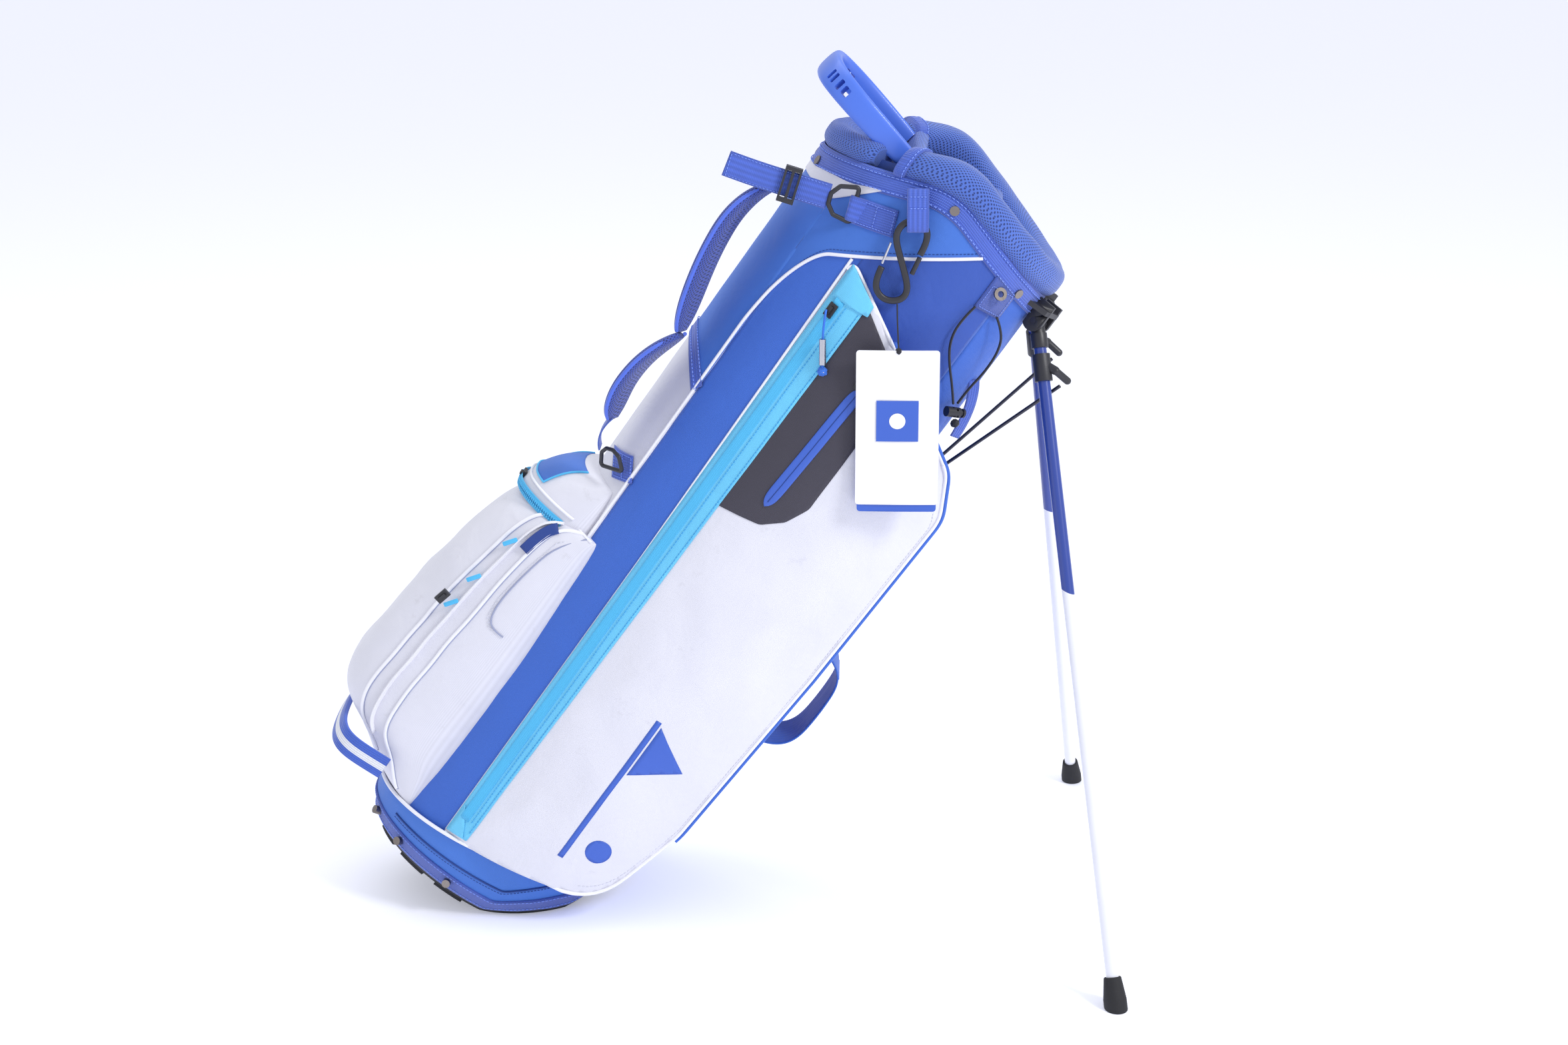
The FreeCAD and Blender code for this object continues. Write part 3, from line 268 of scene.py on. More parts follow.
def webbing(name, code, stripe=None):
    """Ribbed webbing; a stripe runs down the middle of the striped kind."""
    recipe = Recipe(name, 0.55, sheen=0.3)
    ribs = recipe.ribs(0.0022, "Y", recipe.cloth())
    picks = recipe.ribs(0.0016, "X", recipe.cloth())
    height = recipe.math("ADD", ribs, recipe.math("MULTIPLY", picks, 0.5))
    colour = recipe.mottled(paint(code), 0.10, 60.0)
    if stripe:
        across = recipe.node("SeparateXYZ", {"Vector": recipe.cloth()}).node.outputs[1]
        off = recipe.math("ABSOLUTE", recipe.math("SUBTRACT", across, stripe[1]), 0.0)
        colour = recipe.blend(recipe.math("LESS_THAN", off, stripe[2]), colour, paint(stripe[0]))
    colour = recipe.blend(recipe.math("MULTIPLY", ribs, 0.22), colour, BLACK)
    return recipe.finish(colour, recipe.bump(height, 0.6, 0.0007))


def moulded(name, code, roughness=0.45, grain=0.25, mottle=0.06, coat=0.0):
    """Moulded plastic or rubber with a fine grain."""
    recipe = Recipe(name, roughness, coat=coat)
    grains = recipe.node("TexNoise", {"Vector": recipe.place(), "Scale": 700.0, "Detail": 2.0})
    cloud = recipe.node("TexNoise", {"Vector": recipe.place(), "Scale": 45.0, "Detail": 3.0})
    rough = recipe.node("MapRange", {"Value": cloud, "To Min": roughness - 0.08, "To Max": roughness + 0.10})
    colour = recipe.mottled(paint(code), mottle, 30.0)
    return recipe.finish(colour, recipe.bump(grains, grain, 0.0003), rough)


def metal(name, code, roughness, brushed=0.1):
    recipe = Recipe(name, roughness, metallic=1.0)
    cloud = recipe.node("TexNoise", {"Vector": recipe.place((1, 1, 0.15)), "Scale": 220.0, "Detail": 3.0})
    rough = recipe.node("MapRange", {"Value": cloud, "To Min": roughness - 0.07, "To Max": roughness + 0.12})
    return recipe.finish(recipe.mottled(paint(code), 0.12, 120.0), recipe.bump(cloud, brushed, 0.0002), rough)


def leg_paint():
    """Gloss paint: navy above, white below."""
    recipe = Recipe("leg_paint", 0.28, coat=0.4)
    spot = recipe.tree.nodes.new("ShaderNodeTexCoord").outputs["Object"]
    parts = recipe.node("SeparateXYZ", {"Vector": spot}).node
    height = recipe.math("ADD", parts.outputs[2], recipe.math("MULTIPLY", parts.outputs[0], PAINT_SLANT))
    upper = recipe.math("GREATER_THAN", height, PAINT_SPLIT)
    colour = recipe.blend(upper, recipe.mottled(paint("E9EAF2"), 0.03, 30.0), paint("2B4396"))
    cloud = recipe.node("TexNoise", {"Vector": spot, "Scale": 90.0, "Detail": 2.0})
    return recipe.finish(colour, recipe.bump(cloud, 0.04, 0.0005))


ROYAL, UPPER_BLUE, CUP_BLUE = "3566C8", "3F74D2", "3F76D2"
CYAN, DEEP_CYAN, WHITE, CHARCOAL, VIOLET = "6CCBF4", "4DBBEE", "DFDFE9", "3A3744", "4766CC"

finishes = {
    "royal": woven("royal_cloth", ROYAL),
    "upper": woven("upper_cloth", UPPER_BLUE),
    "cup": woven("cup_cloth", CUP_BLUE, creases=0.12),
    "cyan": woven("cyan_cloth", CYAN, creases=0.5),
    "deep_cyan": woven("cyan_tape", DEEP_CYAN, creases=0.1),
    "white": woven("white_cloth", WHITE, weave=0.15, creases=0.3, roughness=0.5, smudges=0.25),
    "piping": woven("piping_cloth", "EDEDF4", weave=0.2, creases=0.05, roughness=0.45),
    "charcoal": woven("charcoal_cloth", CHARCOAL, creases=0.2),
    "lining": woven("lining_cloth", "1F3F8C", creases=0.3),
    # painted shade: a darker copy of the side cloth's blue, for where the side turns away from the light
    "painted_shade_blue": woven("painted_shade_quarter_cloth", "2C53B0", creases=0.4),
    "mesh": spacer_mesh("mesh_cloth", "4A6CC4", "1B3276"),
    "dark_mesh": spacer_mesh("dark_mesh_cloth", "3A4FA8", "161F58"),
    "webbing": webbing("violet_webbing", VIOLET),
    "binding": webbing("binding_tape", "4A6AD8"),
    "striped": webbing("striped_webbing", "3A62CC", ("EEF0F8", 0.012, 0.0036)),
    "thread": moulded("thread", "7F9CF4", 0.6, 0.1),
    "white_thread": moulded("white_thread", "D9DBE6", 0.6, 0.1),
    "seam": moulded("seam_shadow", "9AA0BC", 0.7, 0.1),
    "cyan_thread": moulded("cyan_thread", "2F9FDE", 0.6, 0.1),
    "dark_thread": moulded("dark_thread", "173C86", 0.6, 0.1),
    "handle": moulded("handle_plastic", "4C74DC", 0.38, 0.12, 0.05, coat=0.12),
    "black": moulded("black_plastic", "2A2A30", 0.42),
    "rubber": moulded("sole_rubber", "1E1E22", 0.72, 0.5, 0.15),
    "cord": woven("cord_braid", "1C1D26", weave=0.6, period=0.0012),
    "blue_cord": woven("blue_cord_braid", "2F6FD8", weave=0.6, period=0.0012),
    "steel": metal("dark_steel", "4A4A52", 0.34),
    "nickel": metal("nickel_plate", "8D8580", 0.26),
    "silver": metal("polished_steel", "C9CAD0", 0.2),
    "card": moulded("coated_card", "F0F0F5", 0.4, 0.05, 0.01),
    "print": moulded("blue_print", "3960C2", 0.45, 0.05, 0.03),
    "legs": leg_paint(),
}


# ---------------------------------------------------------------- making pieces
def grid(columns, rows, place, size=(1.0, 1.0)):
    """Sheet of squares; place(u, v) puts each corner, and its own map is in metres."""
    bm = bmesh.new()
    cloth = bm.loops.layers.uv.new("cloth")
    bmesh.ops.create_grid(bm, x_segments=columns, y_segments=rows, size=0.5)
    for face in bm.faces:
        for loop in face.loops:
            loop[cloth].uv = ((loop.vert.co.x + 0.5) * size[0], (loop.vert.co.y + 0.5) * size[1])
    for vert in bm.verts:
        vert.co = place(vert.co.x + 0.5, vert.co.y + 0.5)
    return bm


def face_away(bm, centre):
    """Turns a sheet's faces away from a point."""
    bm.normal_update()
    outward = sum((f.calc_center_median() - centre).dot(f.normal) * f.calc_area() for f in bm.faces)
    if outward < 0:
        bmesh.ops.reverse_faces(bm, faces=bm.faces)


def join_ring(bm, centre):
    """Welds the two ends of a ring of cloth and faces it away from a point."""
    bmesh.ops.remove_doubles(bm, verts=bm.verts, dist=0.02)
    face_away(bm, centre)


def close(bm):
    """Welds the joins of a closed shell, caps its open ends and points its faces outwards."""
    bmesh.ops.remove_doubles(bm, verts=bm.verts, dist=0.02)
    bmesh.ops.holes_fill(bm, edges=[e for e in bm.edges if e.is_boundary], sides=0)
    bmesh.ops.recalc_face_normals(bm, faces=bm.faces)
    return bm


def box_map(bm, scale=MM):
    """Gives a drawn shape its own map, from the two axes that each face lies along."""
    cloth = bm.loops.layers.uv.get("cloth") or bm.loops.layers.uv.new("cloth")
    bm.normal_update()
    for face in bm.faces:
        flat = max(range(3), key=lambda axis: abs(face.normal[axis]))
        first, second = ((1, 2), (0, 2), (0, 1))[flat]
        for loop in face.loops:
            loop[cloth].uv = (loop.vert.co[first] * scale, loop.vert.co[second] * scale)


def piece(name, bm, body, slot, finish, stands_for=(), thickness=0.0, leaned=True, sharp=None):
    """Finished piece from a drawn shape, with the nodes it stands for; thickness is a wall inwards."""
    mesh = bpy.data.meshes.new(name)
    bm.to_mesh(mesh)
    bm.free()
    if leaned:
        mesh.transform(LEAN)
    mesh.materials.append(finishes[finish])
    mesh.shade_smooth()
    if sharp:
        mesh.set_sharp_from_angle(angle=math.radians(sharp))
    obj = bpy.data.objects.new(name, mesh)
    bpy.context.scene.collection.objects.link(obj)
    if thickness:
        wall = obj.modifiers.new("wall", "SOLIDIFY")
        wall.thickness = thickness * MM
        wall.offset = -1
    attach(obj, body)
    if stands_for:
        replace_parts(obj, *stands_for)
    return obj


def tube(name, points, radius, finish, body="bag", leaned=True, stands_for=()):
    """Round piping or cord on one smooth line."""
    curve = bpy.data.curves.new(name, "CURVE")
    curve.dimensions = "3D"
    spline = curve.splines.new("NURBS")
    spline.points.add(len(points) - 1)
    for knot, point in zip(spline.points, points):
        knot.co = (*(LEAN @ Vector(point) if leaned else Vector(point)), 1)
    spline.order_u = 3
    spline.use_endpoint_u = True
    spline.resolution_u = 5
    curve.bevel_depth = radius * MM
    curve.bevel_resolution = 3
    curve.use_fill_caps = True
    curve.materials.append(finishes[finish])
    obj = bpy.data.objects.new(name, curve)
    bpy.context.scene.collection.objects.link(obj)
    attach(obj, body)
    if stands_for:
        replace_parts(obj, *stands_for)
    return obj


def piping(name, points, radius=1.7):
    return tube(name, points, radius, "piping")


def drawn(outline, b=0.0):
    """Points given in a and h, in the plane at b."""
    return [Vector((a, b, h)) for a, h in outline]


def smooth_path(points, count):
    """Evenly spread points on the smooth line that a few points steer."""
    curve = bpy.data.curves.new("path", "CURVE")
    curve.dimensions = "3D"
    spline = curve.splines.new("NURBS")
    spline.points.add(len(points) - 1)
    for knot, point in zip(spline.points, points):
        knot.co = (*point, 1)
    spline.order_u = 4
    spline.use_endpoint_u = True
    spline.resolution_u = 16
    holder = bpy.data.objects.new("path", curve)
    mesh = bpy.data.meshes.new_from_object(holder)
    dense = [v.co.copy() for v in mesh.vertices]
    bpy.data.objects.remove(holder)
    bpy.data.curves.remove(curve)
    bpy.data.meshes.remove(mesh)
    return even_points(dense, count)


def even_points(dense, count):
    lengths = [0.0]
    for p, q in zip(dense, dense[1:]):
        lengths.append(lengths[-1] + (q - p).length)
    made, at = [], 0
    for i in range(count):
        goal = lengths[-1] * i / (count - 1)
        while at < len(dense) - 2 and lengths[at + 1] < goal:
            at += 1
        span = max(1e-9, lengths[at + 1] - lengths[at])
        made.append(dense[at].lerp(dense[at + 1], (goal - lengths[at]) / span))
    return made


def path_length(points):
    return sum((q - p).length for p, q in zip(points, points[1:]))


def loft(path, across, section, around=20):
    """Shell along a path: section(s, turn) gives how far across and how far out of it a corner lies."""
    count = len(path) - 1

    def place(u, v):
        i = round(u * count)
        along = (path[min(i + 1, count)] - path[max(i - 1, 0)]).normalized()
        side = across(u) if callable(across) else across
        side = (side - along * side.dot(along)).normalized()
        out = along.cross(side)
        width, rise = section(u, v * 2 * math.pi)
        return path[i] + side * width + out * rise

    bm = grid(count, around, place, (path_length(path) * MM, 0.06))
    return close(bm)


def rounded(turn, half_width, half_rise, power=0.5):
    """Corner of a rounded rectangle; a smaller power makes it squarer."""
    c, s = math.cos(turn), math.sin(turn)
    return (half_width * math.copysign(abs(c) ** power, c), half_rise * math.copysign(abs(s) ** power, s))


def band(path, across, width, thickness, power=0.3):
    """Flat strap along a path."""
    return loft(path, across, lambda s, turn: rounded(turn, width / 2, thickness / 2, power), 16)


def wrinkle(a, h, size, seed):
    """Soft creases: ridged noise, longer along the bag than across it."""
    coarse = noise.noise(Vector((a / size, h / (size * 1.7), seed)))
    fine = noise.noise(Vector(((a + h * 0.5) / size * 2.2, h / size * 1.6, seed + 9)))
    return (1 - 2.2 * abs(coarse)) * 0.7 + fine * 0.5


class Stitching:
    """Rows of single stitches, gathered into one piece."""

    def __init__(self):
        self.bm = bmesh.new()

    def row(self, points, pitch=4.2, length=2.7, width=0.75):
        total = path_length(points)
        count = max(2, round(total / pitch))
        centres = even_points(points, 2 * count + 1)
        for i in range(count):
            before, centre, after = centres[2 * i:2 * i + 3]
            turn = (after - before).to_track_quat("X", "Z").to_matrix().to_4x4()
            shape = Matrix.Diagonal((length, width, width, 1.0))
            bmesh.ops.create_cube(self.bm, size=1.0, matrix=Matrix.Translation(centre) @ turn @ shape)

    def finish(self, name, colour, slot):
        box_map(self.bm)
        return piece(name, self.bm, "bag", slot, colour)


blue_stitches, cyan_stitches, dark_stitches, white_stitches = (Stitching() for _ in range(4))


def steps(start, end, count):
    return [start + (end - start) * i / count for i in range(count + 1)]


# ---------------------------------------------------------------- body panels
def oval_panel(turn0, turn1, low, high, lift, columns, rows, creases=0.5, seed=1.0):
    """Cloth on the oval between two angles; low and high are heights as functions of a."""
    def place(u, v):
        turn = turn0 + (turn1 - turn0) * u
        a = BODY_A * math.cos(turn)
        h = low(a) + (high(a) - low(a)) * v
        soft = creases * wrinkle(turn * 110, h, 60, seed)
        return on_oval(turn, h, lift + soft)

    size = (abs(turn1 - turn0) * 0.116, 0.75)
    bm = grid(columns, rows, place, size)
    face_away(bm, Vector((0, 0, 450)))
    return bm


def build_body():
    """The four cloth panels of the bag's tube."""
    front, back = math.pi - turn_at(SEAM_FRONT_A, 1), turn_at(SEAM_BACK_A, 1)
    panels = [
        ("front_cloth", math.pi - front, math.pi + front, "white", "front_panel", "white_fabric"),
        ("right_cloth", -(math.pi - front), -back, "royal", "right_side_panel", "royal_fabric"),
        ("left_cloth", back, math.pi - front, "royal", "left_side_panel", "royal_fabric"),
        ("spine_cloth", -back, back, "royal", "spine_panel", "royal_fabric"),
    ]

    def low(a):
        return max(cup_top(a) - 8, underside(a) + 14)
    for index, (name, turn0, turn1, finish, node, slot) in enumerate(panels):
        bm = oval_panel(turn0, turn1, low, lambda a: roof(a) + 16, 0.2, 44, 120, 0.4, index)
        piece(name, bm, "bag", slot, finish, [node], thickness=2.2)


def build_yoke():
    """Upper cloth over both sides and the front, with the bound edge of the front part."""
    # The quarter panels behind the side pockets are painted shade: a darker copy of the side cloth where it
    # turns from the light.
    for side, name in SIDES:
        bm = oval_panel(turn_at(-46, side), turn_at(82, side), lambda a: QUARTER_LOW,
                        lambda a: yoke_edge(a) + 6, 0.7, 60, 40, 0.8, 12 + side)
        piece(name + "_quarter", bm, "bag", "royal_fabric", "painted_shade_blue", thickness=0.6)
    front = math.pi - turn_at(SEAM_FRONT_A, 1)

    def front_edge(a):
        return 604 + (abs(a) - BODY_A) * 1.1

    def top(a):
        return roof(a) + 14
    bm = oval_panel(math.pi - front, math.pi + front, front_edge, top, 1.2, 40, 60, 0.5, 5)
    piece("front_yoke", bm, "bag", "royal_fabric", "upper", thickness=0.9)
    for side, name in SIDES:
        bm = oval_panel(turn_at(-98.4, side), turn_at(42, side), yoke_edge, top, 1.2, 90, 36, 0.5, 6 + side)
        piece(name + "_yoke", bm, "bag", "royal_fabric", "upper", thickness=0.9)
        line = [on_side(-98.5, h, 1.6, side) for h in steps(cup_top(-98.5) + 2, 644, 70)]
        line += [on_side(a, yoke_edge(a), 1.8, side) for a in steps(-98.35, 43, 60)]
        piping(name + "_front_piping", line)
        edge = [on_side(a, yoke_edge(a) + 5.5, 1.7, side) for a in steps(-88, 40, 60)]
        dark_stitches.row(edge, 3.6, 2.2, 0.5)
        seam = [on_side(-45 - (h - 87) * 0.0122, h, 1.2, side) for h in steps(72, 766, 70)]
        piping(name + "_seam_piping", seam, 1.6)
    turns = steps(math.pi - front, math.pi + front, 48)
    edge = [on_oval(t, front_edge(BODY_A * math.cos(t)) + 3, 2.0) for t in turns]
    piece("yoke_binding", band(edge, -DOWN, 14, 1.6), "bag", "webbing", "webbing")
    for offset in (-2.5, 8.5):
        blue_stitches.row([p + Vector((0, 0, offset)) for p in edge_out(edge, 1.1)])

    def white_edge(a):
        return 796 + max(0.0, a + 98) * 1.15
    turn0, turn1 = turn_at(-64, -1), turn_at(-64, 1) - 2 * math.pi
    bm = oval_panel(turn0, turn1, white_edge, top, 2.3, 60, 20, 0.3, 8)
    piece("front_top_cloth", bm, "bag", "white_fabric", "white", thickness=0.9)


def edge_out(points, lift):
    """Points of a line on the oval, moved outwards."""
    made = []
    for p in points:
        out = Vector((p.x / BODY_A ** 2, p.y / BODY_B ** 2, 0)).normalized()
        made.append(p + out * lift)
    return made


# ---------------------------------------------------------------- base
def cup_ring(low, high, lift, rows, name, slot, finish, stands_for=(), thickness=1.4):
    def place(u, v):
        turn = u * 2 * math.pi
        bottom, top = low(turn), high(turn)
        return on_cup(turn, bottom + (max(top, bottom + 0.5) - bottom) * v, lift)

    bm = grid(180, rows, place, (0.75, 0.08))
    join_ring(bm, Vector((0, 0, 50)))
    return piece(name, bm, "bag", slot, finish, stands_for, thickness=thickness)


def top_at(turn):
    return cup_top(CUP_SECTIONS[-1][1] * math.cos(turn))


def build_base():
    """Cloth cup with its webbing, seams and piping, and the rubber lugs under it."""
    cup_ring(cup_bottom, top_at, 0.4, 14, "cup_cloth", "moulded_blue", "cup", ["base_cup"])
    cup_ring(lambda t: cup_bottom(t) - 1.5, lambda t: min(cup_bottom(t) + 17, top_at(t) - 0.5), 2.2, 5,
             "cup_webbing", "webbing", "webbing", ["base_trim"], 1.6)
    for offset in (2.0, 14.5):
        row = [on_cup(t, cup_bottom(t) + offset, 2.6) for t in steps(0.5, 2 * math.pi - 0.5, 200)]
        blue_stitches.row(row, 4.0)
    for side, name in SIDES:
        turns = steps(side * 0.75, side * 2.42, 80)
        seam = [on_cup(t, min(top_at(t) - 2, cup_bottom(t) + 33 + 6 * math.cos(t)), 1.0) for t in turns]
        tube(name + "_cup_seam", seam, 0.9, "dark_thread")
        dark_stitches.row([p - Vector((0, 0, 3.2)) for p in seam], 3.4, 2.2, 0.5)
    rim = [on_cup(t, top_at(t) + 0.6, 1.4) for t in steps(0.55, 2 * math.pi - 0.55, 220)]
    piping("cup_piping", rim, 1.9)
    lugs = bmesh.new()
    for start in range(7):
        turn0 = math.radians(88 + start * 28)
        rim_points = [on_cup(turn0 + t, 0, -7) for t in steps(0, math.radians(19), 8)]
        rim_points = [Vector((p.x, p.y, -0.8)) for p in rim_points]
        lug = loft(rim_points, Vector((0, 0, 1)), lambda s, turn: rounded(turn, 2.6, 7, 0.35), 12)
        mesh = bpy.data.meshes.new("lug")
        lug.to_mesh(mesh)
        lug.free()
        lugs.from_mesh(mesh)
        bpy.data.meshes.remove(mesh)
    piece("sole_lugs", lugs, "bag", "rubber", "rubber")


# ---------------------------------------------------------------- side pockets
GARMENT_OUTLINE = [(-50, 61), (114, 92), (143, 190), (157, 400), (164, 604), (138, 650), (17, 728),
                   (-52, 766)]
LEFT_OUTLINE = [(-30, 100), (112, 104), (134, 200), (130, 520), (112, 560), (-30, 560)]


def round_corners(points, radii, count=6):
    made = []
    for i, (p, radius) in enumerate(zip(points, radii)):
        p = Vector(p)
        before, after = Vector(points[i - 1]), Vector(points[(i + 1) % len(points)])
        to_before, to_after = (before - p).normalized(), (after - p).normalized()
        half = to_before.angle(to_after) / 2
        cut = radius / math.tan(half)
        start, end = p + to_before * cut, p + to_after * cut
        for j in range(count + 1):
            t = j / count
            made.append(start * (1 - t) ** 2 + p * 2 * t * (1 - t) + end * t * t)
    return made


def cut_sheet(outline, cell):
    """Flat sheet in a and h, cut to a convex outline, with its own map in metres."""
    bm = bmesh.new()
    low = [min(p[i] for p in outline) for i in (0, 1)]
    high = [max(p[i] for p in outline) for i in (0, 1)]
    size = [high[i] - low[i] + 2 for i in (0, 1)]
    place = Matrix.Translation(((low[0] + high[0]) / 2, (low[1] + high[1]) / 2, 0))
    bmesh.ops.create_grid(bm, x_segments=round(size[0] / cell), y_segments=round(size[1] / cell), size=0.5,
                          matrix=place @ Matrix.Diagonal((size[0], size[1], 1, 1)))
    for p, q in zip(outline, outline[1:] + outline[:1]):
        edge = Vector(q) - Vector(p)
        if edge.length < 0.2:
            continue
        outward = Vector((edge.y, -edge.x, 0))
        everything = bm.verts[:] + bm.edges[:] + bm.faces[:]
        bmesh.ops.bisect_plane(bm, geom=everything, plane_co=(*p, 0), plane_no=outward, clear_outer=True)
    bmesh.ops.remove_doubles(bm, verts=bm.verts, dist=0.05)
    cloth = bm.loops.layers.uv.new("cloth")
    for face in bm.faces:
        for loop in face.loops:
            loop[cloth].uv = loop.vert.co.xy * MM
    return bm


def inside_by(point, outline):
    """Distance from a point to the nearest edge line of a convex outline."""
    nearest = 1e9
    for p, q in zip(outline, outline[1:] + outline[:1]):
        edge = Vector(q) - Vector(p)
        if edge.length > 0.2:
            away = (point - Vector(p)).cross(edge) / edge.length
            nearest = min(nearest, abs(away))
    return nearest


def face_rise(a, h, outline, puff, creases, seed, soften=22.0):
    """How far a puffed and creased face stands off its plain curve."""
    swell = 1 - math.exp(-inside_by(Vector((a, h)), outline) / soften)
    return swell * (puff + creases * wrinkle(a, h, 85, seed))


def on_face(a, h, lift=0.0):
    """Point on the garment pocket's creased face."""
    return on_pocket(a, h, lift + face_rise(a, h, GARMENT_EDGE, *GARMENT_FACE))


def raise_sheet(bm, outline, lift, puff, creases, seed, side=-1, on_garment=False):
    """Lays a flat sheet on a side pocket's curve, puffed in its middle and creased."""
    for vert in bm.verts:
        a, h = vert.co.x, vert.co.y
        rise = lift + face_rise(a, h, outline, puff, creases, seed)
        if on_garment:
            vert.co = on_face(a, h, rise)
        else:
            vert.co = on_pocket(a, h, rise, side)


def patch(name, outline, lift, finish, slot, puff=0.0, creases=0.0, seed=0.0, cell=9.0, side=-1,
          thickness=0.8, stands_for=(), on_garment=False):
    """Cloth cut to an outline in a and h and laid on a side pocket."""
    bm = cut_sheet(outline, cell)
    raise_sheet(bm, outline, lift, puff, creases, seed, side, on_garment)
    face_away(bm, Vector((40, 0, 350)))
    return piece(name, bm, "bag", slot, finish, stands_for, thickness=thickness)


def pocket_gusset(name, outline, lift, side, node, slot, finish, inset):
    """Cloth from the edge of a side pocket's face back to the bag."""
    count = len(outline)

    def place(u, v):
        p = Vector(outline[round(u * count) % count])
        rim = on_pocket(p.x, p.y, lift, side)
        a = min(p.x, inset)
        foot = on_side(a, p.y, 1.0, side)
        if p.x > inset:
            foot = Vector((inset + (p.x - inset) * 0.02, foot.y, p.y))
        bulge = math.sin(v * math.pi) * 2.5
        spot = rim.lerp(foot, v)
        if p.x > inset:
            spot.x += bulge
            spot.y -= side * bulge * 0.4
        return spot

    bm = grid(count, 8, place, (1.9, 0.06))
    join_ring(bm, Vector((60, side * 60, 350)))
    return piece(name, bm, "bag", slot, finish, [node], thickness=0.9)


def zip_frame(spot, side=-1):
    """Directions out of a side pocket's face and across it."""
    out = (spot - Vector((POCKET_A, -side * POCKET_B, spot.z))).normalized()
    return out, side * Vector((out.y, -out.x, 0))


def rib_line(a, h0, h1, lift, side=-1, count=40):
    if side < 0:
        return [on_face(a, h, lift) for h in steps(h0, h1, count)]
    return [on_pocket(a, h, lift, side) for h in steps(h0, h1, count)]


def zip_coil(name, points, across, finish, body="bag", width=9.0, stands_for=("zip_chains",)):
    """Zip on a path: a flat tape with two raised coils side by side."""
    def section(s, turn):
        w, r = rounded(turn, width / 2, 0.7, 0.4)
        ridge = 0.0
        if r > 0.3:
            ridge = 1.5 * max(0.0, 1 - ((abs(w) - 1.7) / 1.5) ** 2)
        return w, r + ridge

    bm = loft(points, across, section, 40)
    return piece(name, bm, body, "zip_tape", finish, stands_for)


def coil_teeth(name, points, across, finish, pitch=2.6):
    """The coil's turns, a small bar each."""
    bm = bmesh.new()
    count = round(path_length(points) / pitch)
    spots = even_points(points, count)
    for i, spot in enumerate(spots):
        along = spots[min(i + 1, count - 1)] - spots[max(i - 1, 0)]
        side = across(i / count) if callable(across) else across
        out = along.cross(side).normalized()
        turn = Matrix((along.normalized(), side.normalized(), out)).transposed().to_4x4()
        for shift in (-1.7, 1.7):
            centre = spot + side.normalized() * shift + out * 1.75
            shape = Matrix.Diagonal((pitch * 0.55, 2.7, 1.0, 1.0))
            bmesh.ops.create_cube(bm, size=1.0, matrix=Matrix.Translation(centre) @ turn @ shape)
    box_map(bm)
    return piece(name, bm, "bag", "zip_tape", finish)


GARMENT_EDGE = round_corners(GARMENT_OUTLINE, [4, 60, 60, 60, 40, 40, 20, 6])
GARMENT_FACE = (2.0, 3.6, 3.0)           # puff, depth of creases and their seed


def build_garment_pocket():
    outline = GARMENT_EDGE
    patch("garment_face", outline, 0.3, "white", "white_fabric", *GARMENT_FACE, 6.0, thickness=1.0,
          stands_for=["garment_pocket"])
    pocket_gusset("garment_gusset", outline, 0.2, -1, "garment_pocket", "royal_fabric", "royal", 104)
    edge = [on_pocket(p[0], p[1], 0.8) for p in outline]
    top = len(edge) - 14
    piping("garment_edge_piping", even_points(edge[3:top], 150), 1.9)
    outer = [on_pocket(p[0] + 1.5, p[1], -2.6) + Vector((2.2, 0, 0)) for p in outline[14:44]]
    tube("garment_gusset_piping", even_points(outer, 90), 2.3, "royal")
    apex = even_points([on_pocket(p[0], p[1], 1.0) for p in outline[-15:]], 40)
    piping("garment_top_piping", apex)
    centre = Vector((55, 380))
    row = [centre + (p - centre) * 0.965 for p in outline[8:36]]
    white_stitches.row([on_face(p.x, p.y, 0.5) for p in row], 4.0, 2.4, 0.5)
    build_cyan_strip()
    build_valuables()
    build_emblem()


def strip_edge(h):
    """Right edge of the cyan strip."""
    return -27 + (h - 75) * 0.0135


def build_cyan_strip():
    low, high = 66.0, 752.0
    outline = [(-49.5, low), (strip_edge(low), low + 5), (strip_edge(high), 741), (-51.5, 762)]
    outline = round_corners(outline, [1, 1, 1, 1], 2)
    patch("cyan_strip", outline, 1.4, "cyan", "cyan_fabric", 0.5, 0.9, 21.0, 5.0, on_garment=True)
    flap = round_corners([(-50.5, 728), (-13, 733), (-13.5, 744), (-51, 764)], [1, 1, 1, 1], 2)
    patch("cyan_top_flap", flap, 3.0, "cyan", "cyan_fabric", 0.4, 0.2, 5.0, 5.0, on_garment=True)
    foot = round_corners([(-49, 67), (-30, 71.5), (-38, 84), (-48, 104)], [1, 1, 6, 1], 4)
    patch("cyan_foot_flap", foot, 2.8, "cyan", "cyan_fabric", 0.4, 0.1, 6.0, 5.0, on_garment=True)
    points = rib_line(-41, 88, 730, 2.2, count=120)
    out, across = zip_frame(points[0])
    zip_coil("garment_zip", points, across, "deep_cyan", width=10)
    coil_teeth("garment_zip_coil", points, across, "deep_cyan")
    cyan_stitches.row(rib_line(-33.5, 90, 728, 2.5, count=90), 3.6, 2.4, 0.55)
    edge = [on_face(strip_edge(h) - 2.5, h, 2.1) for h in steps(80, 730, 90)]
    cyan_stitches.row(edge, 3.6, 2.4, 0.55)


